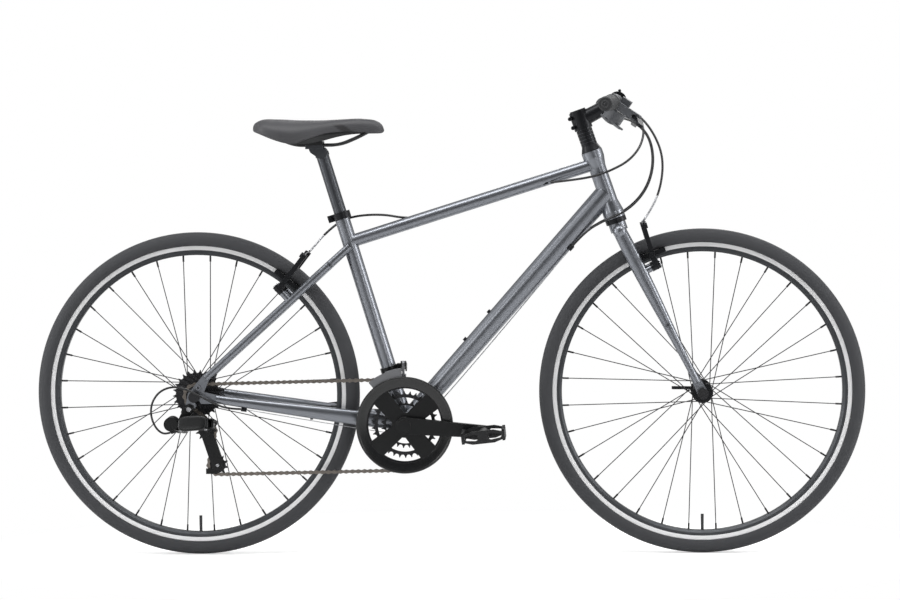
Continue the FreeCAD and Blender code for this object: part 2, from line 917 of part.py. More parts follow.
def chain_rollers():
    """Even number of roller centres that close the loop, by narrowing in on the stride."""
    course = chain_course(chain_pitch / 40)
    length = sum((b - a).Length for a, b in zip(course, course[1:] + course[:1]))
    count = 2 * round(length / chain_pitch / 2)
    low = length / count * 0.98
    high = length / count * 1.01
    places = []
    for _ in range(40):
        stride = (low + high) / 2
        places, excess = walk(course, count, stride)
        if excess > 0:
            high = stride
        else:
            low = stride
    print("chain links %d stride %.3f" % (count, stride))
    return places


def chain_link(start, end, outer):
    """One inner link with its rollers or one outer link with its pins."""
    plane = -leftward * chain_plane
    inner_face = inner_link_gap / 2
    outer_face = inner_face + link_plate_thickness + link_side_play
    face = outer_face if outer else inner_face
    middle = face + link_plate_thickness / 2
    pieces = []
    for side in sides:
        lift = plane + leftward * (side * middle)
        pieces.append(slug(start + lift, link_plate_radius, end + lift, link_plate_radius, leftward,
                           link_plate_thickness))
    reach = leftward * (outer_face + link_plate_thickness + pin_proud if outer else inner_face)
    radius = pin_radius if outer else roller_radius
    pieces += [rod(plane + point - reach, plane + point + reach, radius) for point in (start, end)]
    body = pieces[0].multiFuse(pieces[1:])
    if outer:
        return body
    bore = leftward * (outer_face + link_plate_thickness)
    holes = [rod(plane + point - bore, plane + point + bore, pin_radius + running_fit) for point in (start, end)]
    return body.cut(Part.makeCompound(holes))


def chain(rollers):
    """Closed chain of inner and outer links in turn."""
    links = []
    for index, start in enumerate(rollers):
        end = rollers[(index + 1) % len(rollers)]
        links.append(chain_link(start, end, index % 2 == 1))
    return links


def gap_phase(rollers, wheel, teeth):
    """Angle of a tooth that puts a gap under the rollers on a wheel."""
    centre, radius, _ = wheel
    on_wheel = [point for point in rollers if abs((point - centre).Length - radius) < 0.05 * roller_radius]
    middle = on_wheel[len(on_wheel) // 2] - centre
    return math.degrees(math.atan2(middle.z, middle.x)) + 180 / teeth


def sprockets(rollers):
    """Seven sprockets with the spacers between them and the lockring."""
    plane = -leftward * chain_plane
    half = sprocket_thickness / 2
    bore = freehub_radius + running_fit
    phase = gap_phase(rollers, chain_loop()[1], sprocket_teeth[0])
    solids = []
    for index, teeth in enumerate(sprocket_teeth):
        centre = rear_axle_point + plane + leftward * (index * sprocket_step)
        solids.append(toothed(centre, teeth, phase, bore, sprocket_thickness))
        if index:
            start = centre - leftward * (sprocket_step - half)
            solids.append(ring(start, centre - leftward * half, sprocket_spacer_radius, bore))
    face = rear_axle_point + plane - leftward * half
    solids.append(ring(face - leftward * lockring_length, face, lockring_radius, bore))
    return solids


def chainrings(rollers):
    """Three chainrings and the rivets that hold them to the spider."""
    phase = gap_phase(rollers, chain_loop()[0], ring_teeth[0])
    half = ring_thickness / 2
    solids = []
    for index, teeth in enumerate(ring_teeth):
        centre = bracket_point - leftward * (chain_plane - index * ring_step)
        turned = phase if index == 0 else -crank_tilt
        solids.append(toothed(centre, teeth, turned, ring_inner_radii[index], ring_thickness))
    outer = -leftward * (chain_plane + half)
    for index, circle in enumerate(rivet_circles):
        start = -leftward * (chain_plane - (index + 1) * ring_step + half)
        for arm in range(spider_arms):
            place = bracket_point + direction(spider_angle(arm)) * circle
            solids.append(rod(place + start, place + outer, rivet_radius))
    return solids


# Cranks
def spider_angle(arm):
    """Angle of one spider arm, between the crank's directions."""
    return -crank_tilt + (arm + 0.5) * 360 / spider_arms


def spider_plate():
    """Four broad arms that carry the rings and the guard."""
    inner = chain_plane + ring_thickness / 2
    low = bracket_point - leftward * inner
    high = bracket_point - leftward * (inner + spider_thickness)
    pieces = [rod(low, high, spider_hub_radius)]
    for arm in range(spider_arms):
        outward = direction(spider_angle(arm))
        beside = outward.cross(leftward)
        tip = low + outward * spider_reach
        points = [low - beside * spider_root_half, tip - beside * spider_tip_half,
                  tip + beside * spider_tip_half, low + beside * spider_root_half]
        pieces.append(Part.Face(Part.makePolygon(points + points[:1])).extrude(high - low))
    return pieces


def crank_arm_plane():
    """Distance of the crank arms' inner faces from the bike's middle plane."""
    return chain_plane + ring_thickness / 2 + spider_thickness + guard_thickness + guard_arm_gap


def crank_arm(side):
    """Crank arm with its boss, bored for both spindles."""
    inner = crank_arm_plane()
    outer = inner + crank_thickness
    middle = leftward * (side * (inner + outer) / 2)
    tip = bracket_point - crank_direction * (side * crank_length)
    pieces = [slug(bracket_point + middle, crank_hub_radius, tip + middle, crank_tip_radius, leftward,
                   crank_thickness)]
    root = chain_plane + ring_thickness / 2 + spider_thickness
    pieces.append(rod(bracket_point + leftward * (side * root), bracket_point + leftward * (side * outer),
                      crank_hub_radius))
    if side < 0:
        pieces += spider_plate()
    body = fused(pieces)
    reach = leftward * (outer + overrun)
    body = body.cut(rod(bracket_point - reach, bracket_point + reach, spindle_radius))
    return body.cut(rod(tip - reach, tip + reach, pedal_thread_radius))


def crank_caps():
    """Dust caps over the crank bolts."""
    face = crank_arm_plane() + crank_thickness
    caps = []
    for side in sides:
        start = bracket_point + leftward * (side * face)
        end = bracket_point + leftward * (side * (face + crank_cap_thickness))
        caps.append(rod(start, end, crank_cap_radius))
    return caps


def spindles():
    """Bottom bracket spindle and the two pedal spindles."""
    face = crank_arm_plane() + crank_thickness
    solids = [rod(bracket_point - leftward * face, bracket_point + leftward * face, spindle_radius)]
    root = crank_arm_plane()
    neck = face + pedal_neck
    end = neck + pedal_width - pedal_end_thickness
    for side in sides:
        tip = bracket_point - crank_direction * (side * crank_length)
        outline = [(0, root), (pedal_thread_radius, root), (pedal_thread_radius, neck - near_fit),
                   (pedal_spindle_radius, neck - near_fit), (pedal_spindle_radius, end), (0, end)]
        solids.append(spun(outline, tip, leftward * side))
    return solids


def chain_guard():
    """Flat guard ring with a raised outer lip, on the spider's arms."""
    face = chain_plane + ring_thickness / 2 + spider_thickness
    back = face + guard_thickness
    lip = guard_radius - guard_lip_width
    outline = [(guard_inner_radius, face), (guard_radius, face - guard_lip_rise), (guard_radius, back),
               (lip, back), (lip - guard_lip_rise, back - guard_lip_rise / 2),
               (guard_inner_radius, back - guard_lip_rise / 2)]
    outline[1:1] = [(lip, face), (lip, face - guard_lip_rise)]
    return spun(outline, bracket_point, -leftward)


def pedal(side):
    """Pedal body: barrel, two end plates, front and rear rails with teeth, and ribs."""
    neck = crank_arm_plane() + crank_thickness + pedal_neck
    tip = bracket_point - crank_direction * (side * crank_length)
    ahead = direction(pedal_lean)
    rise = direction(90 + pedal_lean)
    axes = (ahead, leftward, rise)
    inner = tip + leftward * (side * neck)
    outer = tip + leftward * (side * (neck + pedal_width))
    middle = (inner + outer) * 0.5
    half_length = pedal_length / 2
    half_height = pedal_height / 2
    pieces = [rod(inner, outer, pedal_barrel_radius)]
    for place in (inner, outer):
        inward = (middle - place).normalize() * (pedal_end_thickness / 2)
        pieces.append(end_plate(place + inward, ahead, rise))
    for sign in sides:
        rail = middle + ahead * (sign * (half_length - pedal_rail / 2))
        pieces.append(box(rail, axes, (pedal_rail / 2, pedal_width / 2, half_height / 2)))
        rib = middle + ahead * (sign * half_length / 2)
        pieces.append(box(rib, axes, (half_length / 2, pedal_rib_width / 2, half_height / 3)))
        for tooth in range(pedal_tooth_count):
            share = (tooth + 0.5) / pedal_tooth_count - 0.5
            for up in sides:
                foot = rail + leftward * (share * pedal_width)
                foot = foot + rise * (up * (half_height + pedal_tooth_height) / 2)
                size = pedal_rail / 2
                pieces.append(box(foot, axes, (size, size, pedal_tooth_height / 2 + overrun)))
    body = fused(pieces)
    bore_end = outer - leftward * (side * pedal_end_thickness) + leftward * (side * near_fit)
    return body.cut(rod(inner - leftward * (side * overrun), bore_end, pedal_spindle_radius + running_fit))


def end_plate(centre, ahead, rise):
    """Leaf-shaped end of a pedal with two windows beside the barrel."""
    half_length = pedal_length / 2
    half_height = pedal_height / 2
    corner = half_height / 2
    base = centre - leftward * (pedal_end_thickness / 2)
    corners = [(-half_length, -corner), (-half_length / 2, -half_height), (half_length / 2, -half_height),
               (half_length, -corner), (half_length, corner), (half_length / 2, half_height),
               (-half_length / 2, half_height), (-half_length, corner)]
    points = [base + ahead * x + rise * z for x, z in corners]
    plate = Part.Face(Part.makePolygon(points + points[:1])).extrude(leftward * pedal_end_thickness)
    for sign in sides:
        near = centre + ahead * (sign * (pedal_barrel_radius + pedal_rail))
        far = centre + ahead * (sign * (half_length - pedal_rail * 2))
        hole = slug(near, corner, far, corner * 0.7, leftward, pedal_end_thickness + overrun)
        plate = plate.cut(hole)
    return plate


# Frame
def head_tube_outline():
    """Outer outline of the head tube: thick ends and a slim waist."""
    end = head_tube_end_length
    flare = end + head_tube_flare
    length = head_tube_length
    return [(head_tube_end_radius, 0), (head_tube_end_radius, end), (head_tube_waist_radius, flare),
            (head_tube_waist_radius, length - flare), (head_tube_end_radius, length - end),
            (head_tube_end_radius, length)]


def head_tube_solid():
    """Head tube without its bore."""
    outline = [(0, 0)] + head_tube_outline() + [(0, head_tube_length)]
    return spun(outline, steer_point(head_bottom), head_axis)


def head_tube():
    """Head tube bored for the steerer, with seats for the two bearings."""
    bottom = steer_point(head_bottom - overrun)
    top = steer_point(head_top + overrun)
    body = head_tube_solid().cut(rod(bottom, top, head_bore_radius))
    body = body.cut(rod(bottom, steer_point(head_bottom + bearing_depth), bearing_radius))
    return body.cut(rod(steer_point(head_top - bearing_depth), top, bearing_radius))


def seat_tube_solid():
    """Seat tube without its bore."""
    return rod(bracket_point, seat_point(seat_tube_length), seat_tube_radius)


def bracket_shell_solid():
    """Bottom bracket shell without its bore."""
    reach = leftward * (bracket_shell_width / 2)
    return rod(bracket_point - reach, bracket_point + reach, bracket_shell_radius)


def seat_tube():
    """Seat tube with its clamping slot, welded to the bottom bracket shell."""
    bore = rod(bracket_point, seat_point(seat_tube_length + overrun), post_radius + running_fit)
    slot_middle = seat_point(seat_tube_length - seat_slot_length / 2) - seat_normal * seat_tube_radius
    slot = box(slot_middle, (seat_normal, leftward, seat_axis),
               (seat_tube_radius / 2, seat_slot_width / 2, seat_slot_length / 2 + overrun))
    tube = seat_tube_solid().cut(bore).cut(slot).cut(bracket_shell_solid())
    reach = leftward * bracket_shell_width
    shell = bracket_shell_solid().cut(rod(bracket_point - reach, bracket_point + reach, bracket_bore_radius))
    return [tube, shell]


def hollow_loft(stations):
    """Tapered oval tube through (centre, first, second, half_first, half_second) stations."""
    outer = loft([oval(*station) for station in stations])
    inner = loft([oval(c, a, b, p - tube_gauge, q - tube_gauge) for c, a, b, p, q in stations])
    return outer, inner


top_tube_start = seat_point(top_tube_seat_height)


def meet_steering(start, ahead):
    """Point where a line in the bike's plane meets the steering axis."""
    gap = start - steer_foot
    across = gap.dot(head_normal)
    return start + ahead * (-across / ahead.dot(head_normal))


def top_tube():
    """Sloping top tube, mitred to the seat tube and the head tube."""
    ahead = direction(top_tube_slope)
    rise = direction(90 + top_tube_slope)
    end = meet_steering(top_tube_start, ahead)
    stations = [(point, leftward, rise, top_tube_half_width, top_tube_half_height)
                for point in (top_tube_start, end)]
    outer, inner = hollow_loft(stations)
    return largest(outer.cut(inner).cut(seat_tube_solid()).cut(head_tube_solid()).cut(entry_bore()))


down_tube_end = steer_point(head_bottom + down_tube_head_height)


def down_tube_frame():
    """Directions along the down tube and square to it."""
    ahead = Vector(down_tube_end - bracket_point).normalize()
    return ahead, Vector(-ahead.z, 0, ahead.x)


def down_tube():
    """Thick down tube, tapered towards the bottom bracket."""
    _, rise = down_tube_frame()
    stations = [(bracket_point, leftward, rise, down_tube_lower_half, down_tube_lower_half),
                (down_tube_end, leftward, rise, down_tube_upper_half, down_tube_upper_half)]
    outer, inner = hollow_loft(stations)
    body = outer.cut(inner).cut(bracket_shell_solid()).cut(seat_tube_solid()).cut(head_tube_solid())
    top = outer_top_tube()
    return largest(body.cut(top))


def outer_top_tube():
    """Top tube without its bore, for mitres."""
    ahead = direction(top_tube_slope)
    rise = direction(90 + top_tube_slope)
    end = meet_steering(top_tube_start, ahead)
    return loft([oval(point, leftward, rise, top_tube_half_width, top_tube_half_height)
                 for point in (top_tube_start, end)])


def largest(shape):
    """Largest solid of a cut that may leave scraps."""
    return max(shape.Solids, key=lambda solid: solid.Volume)


def plate_place(half_width, thickness, side):
    """Middle plane of a dropout plate."""
    return leftward * (side * (half_width + thickness / 2))


def chainstay_end(side):
    """Rear end of a chain stay, where it meets its dropout."""
    return rear_axle_point + Vector(chainstay_end_reach, side * chainstay_spread, -chainstay_end_drop)


def chainstay_stations(side):
    """Sections of a chain stay that passes the tyre and the rings on its way to the dropout."""
    start = bracket_point + Vector(-chainstay_root_back, side * chainstay_root_spread, 0)
    run = chainstay_end(side) - start
    flat = Vector(run.x, 0, run.z)
    rise = Vector(flat.z, 0, -flat.x).normalize()
    stations = []
    for share, height, width, spread in chainstay_shares:
        centre = start + flat * share + leftward * (run.y * spread)
        stations.append((centre, leftward, rise, chainstay_half_width * width, chainstay_half_height * height))
    return stations


def outer_chain_stay(side):
    """Chain stay without its bore, for mitres."""
    return loft([oval(*station) for station in chainstay_stations(side)])


def chain_stay(side):
    """Hollow chain stay, mitred to the bottom bracket shell."""
    outer, inner = hollow_loft(chainstay_stations(side))
    return largest(outer.cut(inner).cut(bracket_shell_solid()))


hanger_point = rear_axle_point + Vector(-hanger_back, 0, -hanger_drop)


def seatstay_foot(side):
    """Lower end of a seat stay."""
    return rear_axle_point + Vector(seatstay_foot_reach, side * chainstay_spread, seatstay_foot_rise)


def seatstay_head(side):
    """Upper end of a seat stay, beside the seat tube."""
    return seat_point(seatstay_top_height) + leftward * (side * seatstay_top_spread)


def seatstay_centre(side, share):
    """Point on a seat stay's middle line."""
    foot = seatstay_foot(side)
    head = seatstay_head(side)
    spread = interpolated(share, [(row[0], row[2]) for row in seatstay_shares])
    flat = foot + (head - foot) * share
    place = seatstay_top_spread + (chainstay_spread - seatstay_top_spread) * spread
    return Vector(flat.x, side * place, flat.z)


def interpolated(share, rows):
    """Value at a share between the rows of a table."""
    for (low, first), (high, second) in zip(rows, rows[1:]):
        if share <= high:
            return first + (second - first) * (share - low) / (high - low)
    return rows[-1][1]


def dropout(side):
    """Forged rear dropout with its slot, its eyelet and, on the drive side, the mech hanger."""
    middle = plate_place(rear_dropout_width / 2, dropout_thickness, side)
    eye = rear_axle_point + middle
    chain_end = rear_axle_point + Vector(chainstay_end_reach, 0, -chainstay_end_drop) + middle
    seat_end = rear_axle_point + Vector(seatstay_foot_reach, 0, seatstay_foot_rise) + middle
    thick = dropout_thickness
    pieces = [slug(eye, dropout_eye_radius, chain_end, dropout_stay_radius, leftward, thick),
              slug(eye, dropout_eye_radius, seat_end, dropout_stay_radius * 0.9, leftward, thick)]
    eyelet = eye + Vector(eyelet_reach, 0, eyelet_rise)
    pieces.append(rod(eyelet, eyelet + leftward * (side * (thick / 2 + rack_boss_rise)), rack_boss_radius))
    if side < 0:
        pieces.append(slug(eye, dropout_eye_radius, hanger_point + middle, hanger_radius, leftward, thick))
    body = fused(pieces)
    slot_end = eye + direction(dropout_slot_angle) * dropout_slot_length
    radius = rear_axle_radius + running_fit
    body = body.cut(slug(eye, radius, slot_end, radius * 1.01, leftward, thick + overrun))
    mouth = eyelet + leftward * (side * (thick / 2 + rack_boss_rise))
    body = body.cut(rod(mouth + leftward * (side * overrun), mouth - leftward * (side * thread_depth),
                        thread_radius))
    if side < 0:
        reach = leftward * thick
        hole = hanger_point + middle
        body = body.cut(rod(hole - reach, hole + reach, hanger_bolt_radius + running_fit))
    return body


def chain_stays():
    """Both chain stays, cut to seat on their dropouts."""
    solids = []
    for side in sides:
        plate = dropout(side)
        solids += [largest(chain_stay(side).cut(plate)), plate]
    return solids


def stay_frame(side):
    """Directions along a seat stay in the bike's plane and square to it, up and back."""
    run = seatstay_head(side) - seatstay_foot(side)
    ahead = Vector(run.x, 0, run.z).normalize()
    return ahead, Vector(-ahead.z, 0, ahead.x)


def brake_share():
    """Share of the seat stay at which the brake pivots sit."""
    low = 0.0
    high = 1.0
    for _ in range(30):
        middle = (low + high) / 2
        point = seatstay_centre(1, middle) - rear_axle_point
        if math.hypot(point.x, point.z) < brake_pivot_radius:
            low = middle
        else:
            high = middle
    return low


def seat_stay(side):
    """Seat stay with its brake stud and its rack boss."""
    ahead, normal = stay_frame(side)
    stations = []
    for share, size, _ in seatstay_shares:
        radius = seatstay_radius * size
        stations.append((seatstay_centre(side, share), leftward, normal, radius, radius))
    outer, inner = hollow_loft(stations)
    body = outer.cut(inner).cut(seat_tube_solid()).cut(outer_top_tube())
    body = largest(body.cut(dropout(side)))
    stud = brake_stud(seatstay_centre(side, brake_share()), normal)
    boss_foot = seatstay_centre(side, rack_boss_share)
    mouth = boss_foot + leftward * (side * (seatstay_radius + rack_boss_rise))
    boss = rod(boss_foot, mouth, rack_boss_radius)
    body = body.fuse(stud).fuse(boss)
    hole = rod(mouth + leftward * (side * overrun), mouth - leftward * (side * thread_depth), thread_radius)
    return body.cut(hole)


def brake_stud(foot, normal):
    """Stud that carries a brake arm, square to its stay or blade."""
    base = rod(foot + normal * (seatstay_radius / 2), foot + normal * brake_stud_base, brake_stud_base_radius)
    end = foot + normal * (brake_stud_base + near_fit + brake_bush_length)
    return base.fuse(rod(foot + normal * (seatstay_radius / 2), end, brake_stud_radius))


def seat_stays():
    """Both seat stays joined by the bridge above the tyre."""
    right = seatstay_centre(-1, stay_bridge_share)
    left = seatstay_centre(1, stay_bridge_share)
    stays = [seat_stay(side) for side in sides]
    outline = [outer_stay(side) for side in sides]
    bridge = rod(right, left, stay_bridge_radius).cut(outline[0]).cut(outline[1])
    return stays + [largest(bridge)]


def outer_stay(side):
    """Seat stay without its bore, for the bridge's mitres."""
    _, normal = stay_frame(side)
    wires = []
    for share, size, _ in seatstay_shares:
        radius = seatstay_radius * size
        wires.append(oval(seatstay_centre(side, share), leftward, normal, radius, radius))
    return loft(wires)


def bearing_cups():
    """Headset bearings in the head tube and the cartridge in the bottom bracket."""
    bore = steerer_radius + running_fit
    lower = ring(steer_point(head_bottom), steer_point(head_bottom + bearing_depth), bearing_radius, bore)
    upper = ring(steer_point(head_top - bearing_depth), steer_point(head_top), bearing_radius, bore)
    half = bracket_shell_width / 2
    outline = [(spindle_radius + running_fit, -half - cartridge_lip), (bracket_bore_radius, -half - cartridge_lip),
               (bracket_bore_radius, half + cartridge_lip), (spindle_radius + running_fit, half + cartridge_lip)]
    return [lower, upper, spun(outline, bracket_point, leftward)]


def seat_collar():
    """Clamp round the top of the seat tube, with its ears and bolt at the back."""
    top = seat_point(seat_tube_length)
    low = seat_point(seat_tube_length - collar_height)
    outer = seat_tube_radius + collar_wall
    back = -square_to(seat_axis)
    if back.x > 0:
        back = back * -1
    ear_middle = (top + low) * 0.5 + back * (outer + collar_ear_length / 2 - collar_wall / 2)
    ear = box(ear_middle, (back, leftward, seat_axis),
              (collar_ear_length / 2 + collar_wall / 2, collar_ear_half, collar_height / 2))
    body = rod(low, top, outer).fuse(ear)
    slot = box(ear_middle - back * (collar_wall / 2), (back, leftward, seat_axis),
               (collar_ear_length, seat_slot_width / 2, collar_height))
    bolt_line = ear_middle + back * (collar_ear_length / 4)
    hole = rod(bolt_line - leftward * collar_bolt_half, bolt_line + leftward * collar_bolt_half,
               collar_bolt_radius)
    body = body.cut(rod(low - seat_axis * overrun, top + seat_axis * overrun, seat_tube_radius)).cut(slot)
    return [body.cut(hole), hole]


# Fork, headset spacers and stem
crown_point = steer_point(fork_length - crown_race_height)


def blade_line(side, share):
    """Point on a fork blade's middle line, from the crown down to the axle."""
    top = crown_point + leftward * (side * blade_spread)
    bottom = front_axle_point + plate_place(front_dropout_width / 2, fork_dropout_thickness, side)
    return top + (bottom - top) * share


def blade_frame():
    """Directions down a blade in the bike's plane and square to it, forward."""
    run = front_axle_point - crown_point
    down = Vector(run).normalize()
    return down, Vector(-down.z, 0, down.x)


def blade_brake_share():
    """Share of the blade at which the brake pivots sit."""
    return 1 - brake_pivot_radius / (front_axle_point - crown_point).Length


def fork():
    """Steerer, crown, two tapered blades, dropouts, brake studs and eyelets in one welded piece."""
    _, forward = blade_frame()
    pieces = [rod(crown_point, steer_point(stem_top - near_fit), steerer_radius),
              rod(crown_point, steer_point(fork_length), crown_race_radius)]
    reach = leftward * blade_spread
    pieces.append(rod(crown_point - reach, crown_point + reach, crown_bar_radius))
    for side in sides:
        pieces += fork_leg(side, forward)
    body = fused(pieces)
    cuts = [rod(steer_point(fork_length), steer_point(stem_top), steerer_radius - tube_gauge)]
    for side in sides:
        eye = blade_line(side, 1)
        radius = front_axle_radius + running_fit
        down, _ = blade_frame()
        cuts.append(slug(eye, radius, eye + down * fork_slot_length, radius * 1.01, leftward,
                         fork_dropout_thickness + overrun))
        mouth = fork_eyelet_mouth(side)
        cuts.append(rod(mouth + leftward * (side * overrun), mouth - leftward * (side * thread_depth),
                        thread_radius))
    return body.cut(Part.makeCompound(cuts))


def fork_eyelet_mouth(side):
    """Mouth of the threaded eyelet on the outside of a blade."""
    return blade_line(side, fork_eyelet_share) + leftward * (side * (fork_eyelet_stand + overrun))


def fork_leg(side, forward):
    """One blade with its crown end, dropout, brake stud and eyelet."""
    wires = []
    for share, depth, width in blade_shares:
        wires.append(oval(blade_line(side, share), leftward, forward, blade_half_width * width,
                          blade_half_depth * depth))
    top = blade_line(side, 0)
    eye = blade_line(side, 1)
    plate_top = blade_line(side, fork_dropout_top_share)
    flat_top = Vector(plate_top.x, eye.y, plate_top.z)
    blade = loft(wires)
    pieces = [blade, Part.makeSphere(crown_bar_radius, top)]
    pieces.append(slug(eye, fork_dropout_radius, flat_top, blade_half_depth * 0.55, leftward,
                       fork_dropout_thickness))
    pieces.append(brake_stud(blade_line(side, blade_brake_share()), forward))
    foot = blade_line(side, fork_eyelet_share)
    pieces.append(rod(foot, fork_eyelet_mouth(side), fork_eyelet_radius))
    return pieces


def stem_parts():
    """Cone, spacers, stem, top cap and bolts on the steerer."""
    cone = spun([(steerer_radius, 0), (upper_cap_radius, 0), (spacer_radius, upper_cap_height - near_fit),
                 (steerer_radius, upper_cap_height - near_fit)], steer_point(head_top + near_fit), head_axis)
    solids = [cone]
    for index in range(spacer_count):
        low = spacer_bottom + index * spacer_height
        solids.append(ring(steer_point(low), steer_point(low + spacer_height - spacer_seam), spacer_radius,
                           steerer_radius))
    race = ring(steer_point(fork_length), steer_point(head_bottom - near_fit), head_tube_end_radius,
                steerer_radius)
    cap = rod(steer_point(stem_top), steer_point(stem_top + top_cap_thickness), spacer_radius)
    return solids + [race, stem(), cap] + stem_bolts()


def stem_neck_direction():
    """Direction from the steerer to the handlebar."""
    return Vector(bar_point - stem_middle).normalize()


def stem():
    """Stem from the steerer clamp to the handlebar clamp."""
    ahead = stem_neck_direction()
    rise = Vector(-ahead.z, 0, ahead.x)
    half = leftward * (stem_face_width / 2)
    neck = loft([oval(stem_middle, leftward, rise, stem_neck_radius, stem_neck_radius * 1.1),
                 oval(bar_point, leftward, rise, stem_neck_radius * 1.15, stem_neck_radius)])
    pieces = [rod(steer_point(stem_bottom), steer_point(stem_top), stem_clamp_radius), neck,
              rod(bar_point - half, bar_point + half, stem_face_radius)]
    body = fused(pieces)
    body = body.cut(rod(steer_point(stem_bottom - overrun), steer_point(stem_top + overrun), steerer_radius))
    body = body.cut(rod(bar_point - half * 2, bar_point + half * 2, bar_clamp_radius))
    for bolt in stem_bolts():
        body = body.cut(bolt)
    return body


def stem_bolts():
    """Two pinch bolts behind the steerer and four bolts in front of the bar."""
    bolts = []
    for share in (0.25, 0.75):
        place = steer_point(stem_bottom + share * stem_height) - head_normal * stem_bolt_back
        reach = leftward * (stem_bolt_length / 2)
        bolts.append(rod(place - reach, place + reach, stem_bolt_radius))
    ahead = stem_neck_direction()
    rise = Vector(-ahead.z, 0, ahead.x)
    for side in sides:
        for up in sides:
            place = bar_point + leftward * (side * stem_face_width / 3)
            place = place + rise * (up * (bar_clamp_radius + stem_face_radius) / 2)
            front = place + ahead * (stem_face_radius * 0.6)
            bolts.append(rod(front, front + ahead * face_bolt_length, stem_bolt_radius * 0.7))
    return bolts


# Handlebar, grips and controls
def bar_out(side):
    """Direction of the swept outer part of the bar."""
    run = bar_half_width - bar_bend_place
    return Vector(-bar_sweep, side * run, -bar_drop).normalize()


def bar_place(side, distance):
    """Point on the bar's outer part, counted in from its end."""
    end = bar_point + Vector(-bar_sweep, side * bar_half_width, -bar_drop)
    return end - bar_out(side) * distance


def handlebar():
    """Swept tube with a thicker middle for the stem."""
    points = [bar_place(-1, 0), bar_point - leftward * bar_bend_place, bar_point + leftward * bar_bend_place,
              bar_place(1, 0)]
    half = leftward * bar_clamp_half
    sleeve = rod(bar_point - half, bar_point + half, bar_clamp_radius)
    return swept(points, bar_radius).fuse(sleeve).cut(swept(points, bar_radius - tube_gauge))


def grip(side):
    """Rubber sleeve with a closed end and a collar."""
    end = bar_place(side, 0)
    outer = bar_place(side, -grip_cap)
    inner = bar_place(side, grip_length)
    collar = bar_place(side, grip_length - grip_collar_length)
    body = rod(inner, outer, grip_radius).fuse(rod(inner, collar, grip_collar_radius))
    return body.cut(rod(end, inner - bar_out(side) * overrun, bar_radius))


class Control:
    """Directions and places of the controls on one side of the bar."""

    def __init__(self, side):
        self.side = side
        self.out = bar_out(side)
        ahead = direction(-control_pitch)
        self.ahead = (ahead - self.out * ahead.dot(self.out)).normalize()
        self.up = self.ahead.cross(self.out) * -side
        if self.up.z < 0:
            self.up = self.up * -1
        self.axes = (self.out, self.ahead, self.up)
        self.origin = bar_place(side, grip_length + bracket_gap + bracket_ring_length / 2)

    def at(self, out, ahead, up):
        """Point at distances along the bar, ahead of it and above it."""
        return self.origin + self.out * out + self.ahead * ahead + self.up * up

    def lever_pivot(self):
        """Middle of the brake lever's pin."""
        return self.at(-lever_pivot_inset, lever_pivot_reach, 0)

    def shift_pivot(self):
        """Point on the pin of both shift levers, at the pod's underside."""
        return self.at(-pod_inset, pod_reach, -pod_drop - pod_height)


def control_pod(control):
    """Brake bracket, shifter body and gear window in one housing, with the lever pins."""
    half_ring = bracket_ring_length / 2
    bar = rod(control.at(-bar_half_width / 2, 0, 0), control.at(half_ring * 2, 0, 0), bar_radius)
    pivot = control.lever_pivot()
    arm = slug(control.at(0, 0, 0), half_ring, pivot, lever_ear_radius, control.up, bracket_height)
    slot = rod(pivot - control.up * (lever_tongue / 2 + near_fit), pivot + control.up * (lever_tongue / 2 + near_fit),
               lever_slot_radius)
    pin = rod(pivot - control.up * (bracket_height / 2), pivot + control.up * (bracket_height / 2),
              lever_pin_radius)
    adjuster = rod(control.at(0, lever_pivot_reach * adjuster_share, -adjuster_drop),
                   control.at(-half_ring - adjuster_length, lever_pivot_reach * adjuster_share, -adjuster_drop),
                   adjuster_radius)
    clamp = rod(control.at(-half_ring, 0, 0), control.at(half_ring, 0, 0), bracket_ring_radius)
    body = fused([clamp, arm, adjuster]).cut(slot).fuse(pin)
    pod_top = control.at(-pod_inset, pod_reach, -pod_drop + overrun)
    pod = rod(pod_top, control.shift_pivot(), pod_radius)
    band = rod(control.at(-pod_inset - half_ring, 0, 0), control.at(-pod_inset + half_ring, 0, 0),
               bracket_ring_radius)
    window = box(control.at(-pod_inset, window_reach + bracket_ring_radius / 2, window_rise), control.axes,
                 (window_length / 2, window_width / 2, window_height / 2))
    shift_pin = rod(control.shift_pivot() + control.up * overrun,
                    control.shift_pivot() - control.up * (shift_plate * 2 + near_fit * 4), shift_pin_radius)
    port_start = control.at(-pod_inset, pod_reach + gear_port_reach, -pod_drop - pod_height / 2)
    port = rod(port_start, port_start - control.out * (pod_radius + gear_port_length), gear_port_radius)
    bridge = box(control.at(-pod_inset / 2, bracket_ring_radius, 0), control.axes,
                 (pod_inset / 2, adjuster_radius, adjuster_radius))
    body = fused([body, pod, band, window, shift_pin, port, bridge])
    return body.cut(bar)


def brake_lever(control):
    """Brake lever: a tongue on the pin, a knuckle and a long blade in front of the grip."""
    pivot = control.lever_pivot()
    knuckle = pivot + control.out * lever_knuckle_out + control.ahead * lever_knuckle_reach
    tip = pivot + control.out * lever_tip_out + control.ahead * lever_tip_reach
    tongue = slug(pivot, lever_ear_radius - near_fit, knuckle, lever_knuckle_radius, control.up, lever_tongue)
    blade = slug(knuckle, lever_knuckle_radius, tip, lever_tip_radius, control.up, lever_tongue)
    reach = control.up * lever_tongue
    return fused([tongue, blade]).cut(rod(pivot - reach, pivot + reach, lever_pin_radius + running_fit))


